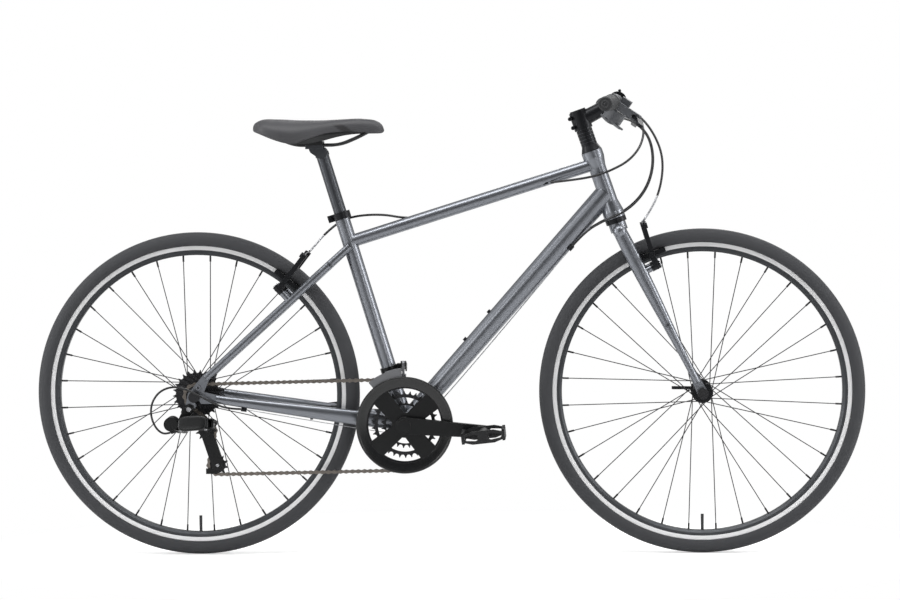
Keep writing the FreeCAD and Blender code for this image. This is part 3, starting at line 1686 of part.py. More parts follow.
def shift_lever(control, level, angle, length, tip_radius):
    """Shift lever on the pod's pin: level 0 is the trigger, level 1 the thumb lever."""
    drop = near_fit + level * (shift_plate + near_fit) + shift_plate / 2
    pivot = control.shift_pivot() - control.up * drop
    turn = math.radians(angle)
    run = control.out * math.cos(turn) + control.ahead * math.sin(turn)
    plate = slug(pivot, shift_hub_radius, pivot + run * length, tip_radius, control.up, shift_plate)
    reach = control.up * shift_plate
    return plate.cut(rod(pivot - reach, pivot + reach, shift_pin_radius + running_fit))


# Brake arms
class BrakeFrame:
    """Directions and places of one brake: its axle, its pivots and its arms."""

    def __init__(self, axle, foot, up, normal):
        self.axle = axle
        self.foot = foot
        self.up = up
        self.normal = normal

    def pivot(self):
        """Middle of the bush on its stud."""
        return self.foot + self.normal * (brake_stud_base + near_fit + brake_bush_length / 2)

    def tip(self, side):
        """Top of the arm, where the cable ends."""
        lean = math.radians(brake_arm_lean)
        run = self.arm_up() * math.cos(lean) + leftward * (side * math.sin(lean))
        return self.pivot() + run * brake_arm_length

    def arm_up(self):
        """Direction up an arm, pitched away from its stay or blade."""
        pitch = math.radians(brake_arm_pitch)
        return self.up * math.cos(pitch) + self.normal * math.sin(pitch)

    def arm_normal(self):
        """Direction square to an arm's flat face."""
        pitch = math.radians(brake_arm_pitch)
        return self.normal * math.cos(pitch) - self.up * math.sin(pitch)


def front_brake(side):
    """Frame of a front brake arm."""
    down, forward = blade_frame()
    return BrakeFrame(front_axle_point, blade_line(side, blade_brake_share()), down * -1, forward)


def rear_brake(side):
    """Frame of a rear brake arm."""
    ahead, normal = stay_frame(side)
    return BrakeFrame(rear_axle_point, seatstay_centre(side, brake_share()), ahead, normal)


def brake_arm(brake, side):
    """Brake arm with its bush, and its pad on a stud through the arm."""
    pivot = brake.pivot()
    tip = brake.tip(side)
    reach = brake.normal * (brake_bush_length / 2)
    bush = rod(pivot - reach, pivot + reach, brake_bush_radius)
    arm = slug(pivot, brake_bush_radius, tip, brake_arm_tip_radius, brake.arm_normal(), brake_arm_thickness)
    bolt_start = tip + brake.arm_normal() * (brake_arm_thickness / 2)
    bolt = rod(bolt_start, bolt_start + brake.arm_normal() * brake_bolt_length, brake_bolt_radius)
    bore = rod(pivot - reach * 2, pivot + reach * 2, brake_stud_radius + running_fit)
    outward = Vector(pivot.x - brake.axle.x, 0, pivot.z - brake.axle.z).normalize()
    tangent_way = Vector(outward.z, 0, -outward.x)
    face = rim_width / 2 + pad_rim_gap
    line = brake.axle + outward * pad_radius
    middle = line + leftward * (side * (face + pad_thickness / 2))
    pad = box(middle, (tangent_way, leftward, outward), (pad_length / 2, pad_thickness / 2, pad_height / 2))
    outer = abs(pivot.y) + brake_bush_radius + pad_nut_length
    stud = rod(line + leftward * (side * (face + pad_thickness)), line + leftward * (side * outer), pad_stud_radius)
    nut = rod(line + leftward * (side * (outer - pad_nut_length)), line + leftward * (side * outer), pad_nut_radius)
    body = fused([bush, arm]).cut(bore)
    hardware = fused([stud, nut]).cut(bore)
    return [body.cut(hardware), bolt, pad, hardware]


# Seatpost and saddle
clamp_point = seat_point(post_top) + Vector(-clamp_back, 0, clamp_height)


def seatpost():
    """Post with the cradle that carries the rails."""
    head = rod(seat_point(post_top - clamp_height / 2), seat_point(post_top), post_head_radius)
    cradle = slug(seat_point(post_top), post_head_radius * 0.85, clamp_point - upward * clamp_jaw,
                  post_head_radius * 0.75, leftward, post_head_radius * 2)
    body = fused([rod(seat_point(post_bottom), seat_point(post_top), post_radius), head, cradle])
    jaw = box(clamp_point - upward * (clamp_jaw / 2), (along, leftward, upward),
              (clamp_length / 2, clamp_width / 2, clamp_jaw / 2))
    flat = box(clamp_point + upward * (clamp_jaw * 2), (along, leftward, upward),
               (clamp_length, clamp_width, clamp_jaw * 2))
    bore = rod(seat_point(post_bottom - overrun), seat_point(post_top - post_head_radius), post_radius - tube_gauge)
    body = fused([body.cut(flat), jaw]).cut(bore)
    for rail in rails():
        body = body.cut(rail)
    return body


def clamp_plate():
    """Upper jaw of the rail clamp and its bolt."""
    middle = clamp_point + upward * (clamp_jaw / 2)
    jaw = box(middle, (along, leftward, upward), (clamp_length / 2, clamp_width / 2, clamp_jaw / 2))
    for rail in rails():
        jaw = jaw.cut(rail)
    top = clamp_point + upward * clamp_jaw
    bolt = rod(top, top + upward * clamp_bolt_radius, clamp_bolt_radius * 1.6)
    return [jaw, bolt]


saddle_rear = clamp_point + Vector(-saddle_back, 0, saddle_rise)
rail_shares = ((0.115, 1.62, -0.51), (0.215, 1.36, -0.80), (0.33, 1.0, -1.037), (0.66, 1.0, -1.037),
               (0.80, 0.70, -0.74), (0.905, 0.34, -0.46))


def rail_points(side):
    """Course of one saddle rail from the back of the base to its nose."""
    return [saddle_rear + Vector(saddle_length * share, side * rail_spread * spread, saddle_depth * height)
            for share, spread, height in rail_shares]


def rails():
    """Both saddle rails."""
    return [swept(rail_points(side), rail_radius) for side in sides]


saddle_shares = ((0.0, 0.42, 0.24, 0.40), (0.055, 0.76, 0.06, 0.56), (0.19, 1.0, 0.01, 0.83),
                 (0.36, 0.94, 0.05, 1.0), (0.52, 0.62, 0.06, 0.88), (0.68, 0.38, 0.03, 0.68),
                 (0.85, 0.275, 0.02, 0.60), (0.955, 0.235, 0.13, 0.60), (1.0, 0.15, 0.30, 0.54))


def saddle_section(row, side_inset, top_inset, drop):
    """Closed section: a crown, two drawn-in flanks and a straight underside, lowered by a drop."""
    share, width, top, edge = row
    half = saddle_width / 2 * width - side_inset
    x = saddle_rear.x + saddle_length * share
    crest = saddle_rear.z - saddle_depth * top - top_inset
    low = saddle_rear.z - saddle_depth * edge
    shoulder = half * 0.72
    shoulder_z = crest - (crest - low) * 0.16
    flank_z = crest - (crest - low) * 0.5

    def at(y, z):
        return Vector(x, y, z)

    crown = Part.Arc(at(-shoulder, shoulder_z), at(0, crest), at(shoulder, shoulder_z)).toShape()
    edge_half = half * 0.93
    left = Part.Arc(at(shoulder, shoulder_z), at(half * 0.97, flank_z), at(edge_half, low)).toShape()
    right = Part.Arc(at(-edge_half, low), at(-half * 0.97, flank_z), at(-shoulder, shoulder_z)).toShape()
    foot = low - drop
    skirt = [at(edge_half, low), at(edge_half, foot), at(-edge_half, foot), at(-edge_half, low)]
    under = [Part.makeLine(first, second) for first, second in zip(skirt, skirt[1:]) if first != second]
    return Part.Wire([crown, left] + under + [right])


def saddle_loft(side_inset, top_inset, drop, rows):
    """Solid through the saddle's sections, drawn in by an inset."""
    return loft([saddle_section(row, side_inset, top_inset, drop) for row in rows])


def saddle_cover():
    """Padded cover over the base."""
    hollow = saddle_loft(cover_side, cover_top, saddle_depth, saddle_shares[1:-1])
    body = saddle_loft(0, 0, 0, saddle_shares).cut(hollow)
    for rail in rails():
        body = body.cut(rail)
    return largest(body)


def saddle_base():
    """Thin base under the padding, with the rails let into it."""
    side_inset = cover_side + near_fit
    top_inset = cover_top + near_fit
    outer = saddle_loft(side_inset, top_inset, 0, saddle_shares[1:-1])
    inner = saddle_loft(side_inset + base_thickness, top_inset + base_thickness, saddle_depth,
                        saddle_shares[2:-2])
    body = outer.cut(inner)
    for rail in rails():
        body = body.cut(rail)
    return largest(body)


# Front mech
mech_centre = seat_point(mech_band_height)
mech_pivot = mech_centre + Vector(mech_body_reach, -mech_pivot_side, mech_pivot_rise / 2)


def mech_link_end():
    """Lower pin of the front mech's link at rest."""
    lean = math.radians(mech_link_lean)
    return mech_pivot + Vector(0, -math.sin(lean), -math.cos(lean)) * mech_link_length


def front_mech_body():
    """Band round the seat tube with the arm that carries the link."""
    half = seat_axis * (mech_band_length / 2)
    outer = seat_tube_radius + mech_band_wall
    band = ring(mech_centre - half, mech_centre + half, outer, seat_tube_radius)
    hinge = mech_link_thickness / 2 + near_fit
    pieces = [band]
    for sign in sides:
        middle = mech_pivot + along * (sign * (hinge + mech_ear_thickness / 2))
        foot = Vector(middle.x, 0, middle.z - mech_pivot_rise / 3)
        pieces.append(slug(foot, mech_link_radius * 1.4, middle, mech_link_radius, along, mech_ear_thickness))
    reach = along * (hinge + mech_ear_thickness)
    pieces.append(rod(mech_pivot - reach, mech_pivot + reach, mech_pin_radius))
    block_front = mech_pivot.x + hinge + mech_ear_thickness
    block_back = mech_centre.x + seat_tube_radius
    block_middle = Vector((block_front + block_back) / 2, 0, mech_centre.z + mech_pivot_rise / 4)
    pieces.append(box(block_middle, (along, leftward, upward),
                      ((block_front - block_back) / 2, mech_body_depth, mech_link_radius)))
    body = fused(pieces)
    return body.cut(seat_tube_solid())


def front_mech_link():
    """Link between the front mech's body and its cage."""
    end = mech_link_end()
    plate = slug(mech_pivot, mech_link_radius, end, mech_link_radius, along, mech_link_thickness)
    reach = along * mech_link_thickness
    for pin in (mech_pivot, end):
        plate = plate.cut(rod(pin - reach, pin + reach, mech_pin_radius + running_fit))
    return plate


def cage_sector(inner, outer, start, stop, place, thickness):
    """Flat sector of a ring about the bottom bracket."""
    centre = bracket_point - leftward * place
    middle = (start + stop) / 2

    def at(radius, degrees):
        return centre + direction(degrees) * radius

    edges = [Part.Arc(at(outer, start), at(outer, middle), at(outer, stop)).toShape(),
             Part.makeLine(at(outer, stop), at(inner, stop)),
             Part.Arc(at(inner, stop), at(inner, middle), at(inner, start)).toShape(),
             Part.makeLine(at(inner, start), at(outer, start))]
    return Part.Face(Part.Wire(edges)).extrude(-leftward * thickness)


def chain_half_width():
    """Half the chain's width over its pins."""
    return inner_link_gap / 2 + 2 * link_plate_thickness + link_side_play + pin_proud


def front_mech_cage():
    """Two curved plates either side of the chain, bridged above and behind it."""
    half = chain_half_width()
    inner_face = chain_plane - half - mech_inner_play - mech_plate
    outer_face = chain_plane + half + mech_outer_play
    span = outer_face + mech_plate - inner_face
    pieces = [cage_sector(mech_cage_inner, mech_cage_outer, mech_cage_front, mech_cage_back, inner_face, mech_plate),
              cage_sector(mech_cage_inner, mech_cage_outer, mech_cage_front, mech_cage_back, outer_face, mech_plate),
              cage_sector(mech_cage_outer - overrun / 4, mech_cage_outer + mech_bridge_thickness, mech_cage_front,
                          mech_cage_bridge_back, inner_face, span)]
    tail = bracket_point + direction(mech_cage_back - 1.5) * (mech_cage_inner + mech_tail_radius)
    pieces.append(rod(tail - leftward * inner_face, tail - leftward * (inner_face + span), mech_tail_radius))
    end = mech_link_end()
    hinge = mech_link_thickness / 2 + near_fit
    inner_plane = Vector(end.x, -inner_face - mech_plate / 2, end.z)
    for sign in sides:
        middle = along * (sign * (hinge + mech_ear_thickness / 2))
        pieces.append(slug(end + middle, mech_link_radius, inner_plane + middle, mech_link_radius * 0.8, along,
                           mech_ear_thickness))
    reach = along * (hinge + mech_ear_thickness)
    pieces.append(rod(end - reach, end + reach, mech_pin_radius))
    keep = box(inner_plane + leftward * (pad_length / 2), (along, leftward, upward),
               (pad_length, pad_length / 2 + mech_plate / 2, pad_length))
    plates = pieces[:4]
    ears = [piece.common(keep) for piece in pieces[4:]]
    return fused(plates + ears)


# Rear mech
slant_way = Vector(0, math.cos(math.radians(mech_slant)), -math.sin(math.radians(mech_slant)))
slant_axis = along.cross(slant_way)
rear_link_way = (along * math.cos(math.radians(mech_rest_lean)) -
                 slant_way * math.sin(math.radians(mech_rest_lean)))
outer_pivot = hanger_point + Vector(-knuckle_back, -knuckle_side, -knuckle_drop)
inner_pivot = outer_pivot + along * rear_link_stagger + slant_way * rear_link_gap
rear_link_run = rear_link_way * rear_link_length


def rear_link(pivot):
    """Parallelogram link: a barrel on each pin and a web between them."""
    end = pivot + rear_link_run
    reach = slant_axis * rear_link_half
    pieces = [rod(point - reach, point + reach, rear_link_barrel) for point in (pivot, end)]
    beside = slant_axis.cross(rear_link_way)
    pieces.append(box((pivot + end) * 0.5, (rear_link_way, beside, slant_axis),
                      (rear_link_length / 2, rear_link_web / 2, rear_link_half)))
    body = fused(pieces)
    for point in (pivot, end):
        body = body.cut(rod(point - reach * 2, point + reach * 2, mech_pin_radius + running_fit))
    return body


def hinge_block(first, second, back):
    """Ears above and below two link barrels, their pins and the web behind them."""
    pieces = []
    offset = rear_link_half + near_fit + rear_ear_thickness / 2
    for sign in sides:
        lift = slant_axis * (sign * offset)
        pieces.append(slug(first + lift, rear_ear_radius, second + lift, rear_ear_radius, slant_axis,
                           rear_ear_thickness))
        web_lift = lift + back * (rear_ear_radius + rear_web_thickness)
        pieces.append(slug(first + web_lift, rear_web_thickness, second + web_lift, rear_web_thickness, slant_axis,
                           rear_ear_thickness))
        middle = (first + second) * 0.5 + lift + back * ((rear_ear_radius + rear_web_thickness) / 2)
        pieces.append(box(middle, (along, slant_way, slant_axis),
                          ((rear_ear_radius + rear_web_thickness) / 2, rear_link_gap / 2, rear_ear_thickness / 2)))
    reach = slant_axis * (offset + rear_ear_thickness / 2)
    pieces += [rod(point - reach, point + reach, mech_pin_radius) for point in (first, second)]
    web = (first + second) * 0.5 + back * (rear_ear_radius + rear_web_thickness)
    pieces.append(box(web, (along, slant_way, slant_axis),
                      (rear_web_thickness / 2, rear_link_gap / 2, offset + rear_ear_thickness / 2)))
    return pieces


def rear_mech_knuckle():
    """Knuckle on the hanger bolt with the fixed pins of the links and the cable adjuster."""
    face = rear_dropout_width / 2 + dropout_thickness + near_fit
    plate_middle = -leftward * (face + knuckle_plate / 2)
    web = (outer_pivot + inner_pivot) * 0.5 - along * (rear_ear_radius + rear_web_thickness)
    foot = Vector(web.x, 0, web.z)
    pieces = [slug(hanger_point + plate_middle, knuckle_boss_radius, foot + plate_middle, knuckle_boss_radius * 0.6,
                   leftward, knuckle_plate)]
    body = foot + Vector(-knuckle_body_back, 0, knuckle_body_rise)
    pieces.append(rod(body - leftward * face, body - leftward * (knuckle_side + knuckle_body_end), knuckle_body_radius))
    pieces += hinge_block(outer_pivot, inner_pivot, along * -1)
    bolt_start = hanger_point - leftward * (face + knuckle_plate)
    pieces.append(rod(bolt_start, bolt_start - leftward * knuckle_bolt_length, knuckle_bolt_radius))
    stem_start = hanger_point - leftward * (rear_dropout_width / 2)
    pieces.append(rod(stem_start, bolt_start, hanger_bolt_radius))
    start, end = mech_adjuster_line()
    pieces.append(rod(start, end, mech_adjuster_radius))
    return fused(pieces)


def mech_adjuster_line():
    """Ends of the barrel through which the gear cable enters the rear mech."""
    web = (outer_pivot + inner_pivot) * 0.5 - along * (rear_ear_radius + rear_web_thickness)
    start = web - slant_axis * rear_link_half
    return start, start + direction(mech_adjuster_angle) * mech_adjuster_length


def cage_sides():
    """Inner faces of the two cage plates, counted from the bike's middle plane."""
    reach = chain_half_width() + cage_play
    return chain_plane - reach, chain_plane + reach


def rear_mech_cage():
    """Cage plates, their pulley bolts and the pivot in the cage knuckle."""
    inner, outer = cage_sides()
    pieces = []
    for place in (inner - cage_plate / 2, outer + cage_plate / 2):
        lift = -leftward * place
        pieces.append(slug(guide_point + lift, cage_end_radius, tension_point + lift, cage_end_radius, leftward,
                           cage_plate))
    tab = tension_point + Vector(-cage_end_radius, -(outer + cage_plate / 2), -cage_end_radius)
    pieces.append(box(tab, (along, leftward, upward), (cage_tab, cage_plate / 2, cage_tab / 2)))
    for point in (guide_point, tension_point):
        pieces.append(rod(point - leftward * inner, point - leftward * outer, pulley_bolt_radius))
    boss_end = outer + cage_plate + overrun
    pieces.append(rod(guide_point - leftward * outer, guide_point - leftward * boss_end, cage_boss_radius))
    pieces.append(rod(guide_point - leftward * boss_end, guide_point - leftward * (boss_end + cage_pin_length),
                      cage_pin_radius))
    return fused(pieces)


def rear_mech_cage_knuckle():
    """Knuckle at the links' far ends that carries the cage."""
    _, outer = cage_sides()
    start = guide_point - leftward * (outer + cage_plate + overrun + near_fit)
    end = start - leftward * cage_knuckle_length
    first = outer_pivot + rear_link_run
    second = inner_pivot + rear_link_run
    web = (first + second) * 0.5 + along * (rear_ear_radius + rear_web_thickness)
    pieces = [rod(start, end, cage_knuckle_radius)]
    pieces += hinge_block(first, second, along)
    foot = Vector(web.x, end.y, web.z)
    pieces.append(rod(foot, web, rear_web_thickness / 2))
    middle = (start + end) * 0.5
    pieces.append(slug(middle, cage_knuckle_radius, Vector(web.x, middle.y, web.z), rear_web_thickness, leftward,
                       cage_knuckle_length))
    body = fused(pieces)
    bore_end = start - leftward * (cage_pin_length + near_fit)
    return body.cut(rod(start + leftward * overrun, bore_end, cage_pin_radius + running_fit))


def pulley(rollers, index):
    """Jockey wheel between the cage plates."""
    wheel = chain_loop()[index]
    centre = wheel[0]
    inner, outer = cage_sides()
    middle = centre - leftward * chain_plane
    phase = gap_phase(rollers, wheel, pulley_teeth)
    bore = pulley_bolt_radius + running_fit
    disc = toothed(middle, pulley_teeth, phase, bore, sprocket_thickness)
    hub = ring(centre - leftward * (inner + pulley_hub_side), centre - leftward * (outer - pulley_hub_side),
               pulley_hub_radius, bore)
    return fused([disc, hub])


# Fittings and cables
def down_tube_stop(side):
    """Middle of the cable stop low on one side of the down tube."""
    ahead, rise = down_tube_frame()
    length = (down_tube_end - bracket_point).Length * down_stop_share
    radius = down_tube_lower_half + (down_tube_upper_half - down_tube_lower_half) * down_stop_share
    reach = radius + stop_radius * 0.8
    turn = math.radians(down_stop_angle)
    lift = rise * (-reach * math.cos(turn)) + leftward * (side * reach * math.sin(turn))
    return bracket_point + ahead * length + lift


def stay_stop():
    """Middle of the cable stop under the right chain stay, and the stay's direction there."""
    row = chainstay_shares[stay_stop_row]
    start = bracket_point + Vector(-chainstay_root_back, -chainstay_root_spread, 0)
    run = chainstay_end(-1) - start
    centre = start + Vector(run.x, 0, run.z) * row[0] + leftward * (run.y * row[3])
    ahead = Vector(run).normalize()
    return centre - upward * (chainstay_half_height * row[1] + stop_radius * 0.8), ahead


def stops():
    """Cable stops on the down tube and the chain stay, and the guide under the shell."""
    ahead, rise = down_tube_frame()
    half = ahead * (stop_length / 2)
    tube = loft([oval(bracket_point, leftward, rise, down_tube_lower_half, down_tube_lower_half),
                 oval(down_tube_end, leftward, rise, down_tube_upper_half, down_tube_upper_half)])
    solids = []
    for side in sides:
        middle = down_tube_stop(side)
        solids.append(largest(rod(middle - half, middle + half, stop_radius).cut(tube)))
    middle, run = stay_stop()
    half = run * (stop_length / 2)
    solids.append(largest(rod(middle - half, middle + half, stop_radius).cut(outer_chain_stay(-1))))
    low = bracket_point - upward * (bracket_shell_radius + guide_block_height / 2)
    block = box(low, (along, leftward, upward),
                (guide_block_length / 2, guide_block_width / 2, guide_block_height / 2 + overrun))
    block = block.cut(bracket_shell_solid())
    clear = box(low - upward * (guide_block_height + overrun / 2), (along, leftward, upward),
                (guide_block_length, guide_block_width, (guide_block_height + overrun) / 2))
    return solids + [largest(block.cut(clear))]


def placed(course, anchor):
    """Points of a cable's course, counted from an anchor."""
    return [anchor + Vector(*place) for place in course]


def brake_port(control):
    """End of the brake cable's adjuster, just clear of its face."""
    reach = bracket_ring_length / 2 + adjuster_length + running_fit
    return control.at(-reach, lever_pivot_reach * adjuster_share, -adjuster_drop)


def brake_start(control):
    """First run of a brake cable, straight out of its adjuster."""
    port = brake_port(control)
    return [port, port - control.out * brake_lead]


def gear_port(control):
    """End of the gear cable's adjuster, just clear of its face."""
    start = control.at(-pod_inset, pod_reach + gear_port_reach, -pod_drop - pod_height / 2)
    return start - control.out * (pod_radius + gear_port_length + running_fit)


def noodle_points(brake, side):
    """Bend of the noodle above the arm on one side and its end between the arms."""
    height = brake_arm_tip_radius + brake_housing_radius + near_fit
    tip = brake.tip(side) + brake.arm_up() * height
    return [Vector(tip.x, side * noodle_start, tip.z), Vector(tip.x, side * noodle_end, tip.z)]


def cross_wire(brake, side):
    """Bare wire from the noodle on one side to the other arm."""
    end = noodle_points(brake(side), side)[1] - leftward * (side * running_fit)
    other = brake(-side)
    far = other.tip(-side) + other.arm_up() * (brake_arm_tip_radius + wire_radius + near_fit)
    run = Vector(far - end).normalize()
    return rod(end, far + run * brake_arm_tip_radius, wire_radius)


def front_brake_cable():
    """Housing from the right lever with its noodle, and the wire between the front arms."""
    points = brake_start(Control(-1)) + placed(front_brake_course, bar_point) + noodle_points(front_brake(-1), -1)
    return [swept(points, brake_housing_radius), cross_wire(front_brake, -1)]


def tube_entry():
    """Mouth of the rear brake cable's port low on the right of the top tube."""
    return placed(rear_brake_course[-1:], bar_point)[0]


def gear_housing(side):
    """Gear cable housing from one shifter round the head tube to its stop."""
    ahead, _ = down_tube_frame()
    end = down_tube_stop(side) + ahead * (stop_length / 2 + running_fit)
    course = [(x, side * y, z) for x, y, z in gear_course]
    points = [gear_port(Control(side))] + placed(course, bar_point) + [end + ahead * gear_lead, end]
    return swept(points, gear_housing_radius)


def steering_cables():
    """Cables that bridge from the handlebar to the frame."""
    rear = swept(brake_start(Control(1)) + placed(rear_brake_course, bar_point), brake_housing_radius)
    return [rear] + [gear_housing(side) for side in sides]


def rear_brake_points():
    """Rear brake cable through the top tube and on to the noodle of the rear brake."""
    entry = tube_entry()
    before = placed(rear_brake_course[-2:-1], bar_point)[0]
    start = entry + Vector(entry - before).normalize() * running_fit
    inside = placed(tube_course, top_tube_start)
    return [start] + inside + noodle_points(rear_brake(1), 1)


def entry_bore():
    """Clearance for the rear brake cable where it passes the top tube's wall."""
    before = placed(rear_brake_course[-2:], bar_point)
    inside = rear_brake_points()[1:7]
    return swept(before + inside, brake_housing_radius + near_fit)


def gear_wire(side, tail):
    """Bare gear wire under the down tube, round the guide and on to its end."""
    ahead, _ = down_tube_frame()
    start = down_tube_stop(side) - ahead * (stop_length / 2 + running_fit)
    low = bracket_shell_radius + guide_block_height + wire_radius + near_fit
    guide = [Vector(x, side * wire_spread, -low) for x in (guide_lead, -guide_lead)]
    return swept([start] + [bracket_point + place for place in guide] + tail, wire_radius)


def rear_cables():
    """Rear brake cable, both gear wires and the loop of housing to the rear mech."""
    stop, ahead = stay_stop()
    near = stop - ahead * (stop_length / 2 + near_fit)
    far = stop + ahead * (stop_length / 2 + near_fit)
    front_tail = placed(front_mech_course, bracket_point)
    _, adjuster = mech_adjuster_line()
    lead = direction(mech_adjuster_angle)
    loop = [far] + placed(loop_course, rear_axle_point) + [adjuster + lead * mech_adjuster_lead]
    loop.append(adjuster + lead * running_fit)
    return [swept(rear_brake_points(), brake_housing_radius), cross_wire(rear_brake, 1),
            gear_wire(-1, [near]), gear_wire(1, front_tail), swept(loop, gear_housing_radius)]


def bottle_bolts():
    """Two bolts on the upper side of the down tube."""
    ahead, rise = down_tube_frame()
    length = (down_tube_end - bracket_point).Length
    bolts = []
    for share in bottle_bolt_shares:
        radius = down_tube_lower_half + (down_tube_upper_half - down_tube_lower_half) * share
        foot = bracket_point + ahead * (length * share) + rise * (radius + running_fit)
        bolts.append(rod(foot, foot + rise * bottle_bolt_rise, bottle_bolt_radius))
    return bolts


def node(name, solids):
    """Write one node as a STEP file of separate solids."""
    items = solids if isinstance(solids, list) else [solids]
    flat = []
    for item in items:
        flat += item.Solids
    bad = [index for index, solid in enumerate(flat) if not solid.isValid() or solid.Volume <= 0]
    print("%-26s solids %3d  volume %10.0f %s" % (name, len(flat), sum(s.Volume for s in flat), bad or ""))
    Part.makeCompound(flat).exportStep("parts/%s.step" % name)


def build_frame(rollers):
    """Pieces that stand still with the frame."""
    node("head_tube", head_tube())
    node("top_tube", top_tube())
    node("down_tube", down_tube())
    node("seat_tube", seat_tube())
    node("chain_stays", chain_stays())
    node("seat_stays", seat_stays())
    node("frame_fittings", seat_collar() + bottle_bolts() + stops() + bearing_cups())
    node("steering_cables", steering_cables())
    node("rear_cables", rear_cables())
    node("front_mech_body", front_mech_body())
    half = rear_dropout_width / 2
    node("rear_axle", axle_set(rear_axle_point, rear_axle_radius, freehub_end, rear_shell_left, half,
                               dropout_thickness))
    node("chain", chain(rollers))


def build_seat():
    """Pieces that slide with the seatpost."""
    node("seatpost", seatpost())
    node("saddle_frame", rails() + clamp_plate() + [saddle_base()])
    node("saddle_cover", saddle_cover())


def build_steering():
    """Pieces that turn with the handlebar."""
    node("fork", fork())
    node("stem", stem_parts())
    node("handlebar", handlebar())
    node("grips", [grip(side) for side in sides])
    controls = [Control(side) for side in sides]
    node("control_pods", [control_pod(control) for control in controls])
    node("front_brake_cable", front_brake_cable())
    half = front_dropout_width / 2
    node("front_axle", axle_set(front_axle_point, front_axle_radius, front_shell_half, front_shell_half, half,
                                fork_dropout_thickness))
    for control, name in zip(controls, ("right", "left")):
        node(name + "_brake_lever", brake_lever(control))
        node(name + "_trigger", shift_lever(control, 0, trigger_angle, trigger_length, trigger_tip_radius))
        node(name + "_thumb_lever", shift_lever(control, 1, thumb_angle, thumb_length, thumb_tip_radius))


def build_wheels(rollers):
    """Both wheels, the sprockets and the quick release levers."""
    front = {-1: front_flange_place, 1: front_flange_place}
    rear = {-1: rear_right_flange, 1: rear_left_flange}
    for name, axle, flanges, hole, hub in (("front", front_axle_point, front, front_hole_radius, front_hub()),
                                           ("rear", rear_axle_point, rear, rear_hole_radius, rear_hub())):
        node(name + "_tyre", tyre_casing(axle))
        node(name + "_inner_tube", inner_tube(axle))
        node(name + "_rim", rim(axle))
        node(name + "_spokes", spokes(axle, flanges, hole))
        node(name + "_hub", hub)
    node("sprockets", sprockets(rollers))
    node("front_release_lever", release_lever(front_axle_point, front_dropout_width / 2 + fork_dropout_thickness))
    node("rear_release_lever", release_lever(rear_axle_point, rear_dropout_width / 2 + dropout_thickness))


def build_cranks(rollers):
    """Cranks, rings, guard and pedals."""
    node("spindles", spindles())
    node("crank_arms", [crank_arm(side) for side in sides] + crank_caps())
    node("chainrings", chainrings(rollers))
    node("chain_guard", chain_guard())
    node("right_pedal", pedal(-1))
    node("left_pedal", pedal(1))


def build_brakes():
    """Four brake arms."""
    for side, name in zip(sides, ("right", "left")):
        node("front_brake_" + name, brake_arm(front_brake(side), side))
        node("rear_brake_" + name, brake_arm(rear_brake(side), side))


def build_mechs(rollers):
    """Moving pieces of both mechs."""
    node("front_mech_link", front_mech_link())
    node("front_mech_cage", front_mech_cage())
    node("rear_mech_knuckle", rear_mech_knuckle())
    node("rear_mech_outer_link", rear_link(outer_pivot))
    node("rear_mech_inner_link", rear_link(inner_pivot))
    node("rear_mech_cage_knuckle", rear_mech_cage_knuckle())
    node("rear_mech_cage", rear_mech_cage())
    node("guide_pulley", pulley(rollers, 2))
    node("tension_pulley", pulley(rollers, 3))


def main():
    """Build every piece of the bike."""
    os.makedirs("parts", exist_ok=True)
    rollers = chain_rollers()
    build_frame(rollers)
    build_seat()
    build_steering()
    build_wheels(rollers)
    build_cranks(rollers)
    build_brakes()
    build_mechs(rollers)


if __name__ == "__main__":
    main()
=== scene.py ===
import json
import logging
import math
from dataclasses import dataclass
from enum import Enum
from typing import Any, Dict, List, Optional, Sequence, Tuple

import bpy
import numpy as np
from mathutils import Matrix, Vector


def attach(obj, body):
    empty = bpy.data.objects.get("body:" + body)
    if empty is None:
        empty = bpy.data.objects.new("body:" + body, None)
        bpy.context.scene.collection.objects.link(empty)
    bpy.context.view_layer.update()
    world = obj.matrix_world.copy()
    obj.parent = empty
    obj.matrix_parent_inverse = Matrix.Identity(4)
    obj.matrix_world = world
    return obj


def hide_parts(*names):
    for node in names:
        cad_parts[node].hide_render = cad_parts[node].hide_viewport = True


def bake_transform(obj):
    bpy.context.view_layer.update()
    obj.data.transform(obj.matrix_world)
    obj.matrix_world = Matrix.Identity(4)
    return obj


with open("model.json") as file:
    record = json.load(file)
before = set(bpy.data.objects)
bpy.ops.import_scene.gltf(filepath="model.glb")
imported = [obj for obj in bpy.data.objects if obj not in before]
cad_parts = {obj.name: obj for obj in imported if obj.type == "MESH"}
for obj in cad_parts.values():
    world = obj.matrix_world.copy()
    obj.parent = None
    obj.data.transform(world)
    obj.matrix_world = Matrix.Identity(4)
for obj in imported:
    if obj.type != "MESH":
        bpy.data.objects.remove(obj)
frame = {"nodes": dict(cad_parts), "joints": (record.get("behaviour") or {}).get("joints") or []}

LOG = logging.getLogger("bicycle")
MM = 0.001
TURN = 2 * math.pi
WHITE = (1.0, 1.0, 1.0, 1.0)
FRONT_AXLE_X = 0.5375
REAR_AXLE_X = -0.5375
AXLE_Z = 0.346
Point = Tuple[float, float, float]
Pair = Tuple[float, float]
Floats = Tuple[float, ...]
Array = np.ndarray
Tree = bpy.types.NodeTree
Piece = bpy.types.Object


def linear(code: str, level: float = 1.0) -> Tuple[float, float, float, float]:
    """Turn an sRGB hex code into linear colour.

    Args:
        code: six hex digits after a hash.
        level: factor on the linear colour.

    Returns:
        Linear red, green, blue and an alpha of one.
    """
    parts = [int(code[i:i + 2], 16) / 255.0 for i in (1, 3, 5)]
    lin = [p / 12.92 if p <= 0.04045 else ((p + 0.055) / 1.055) ** 2.4 for p in parts]
    red, green, blue = (min(1.0, level * c) for c in lin)
    return (red, green, blue, 1.0)


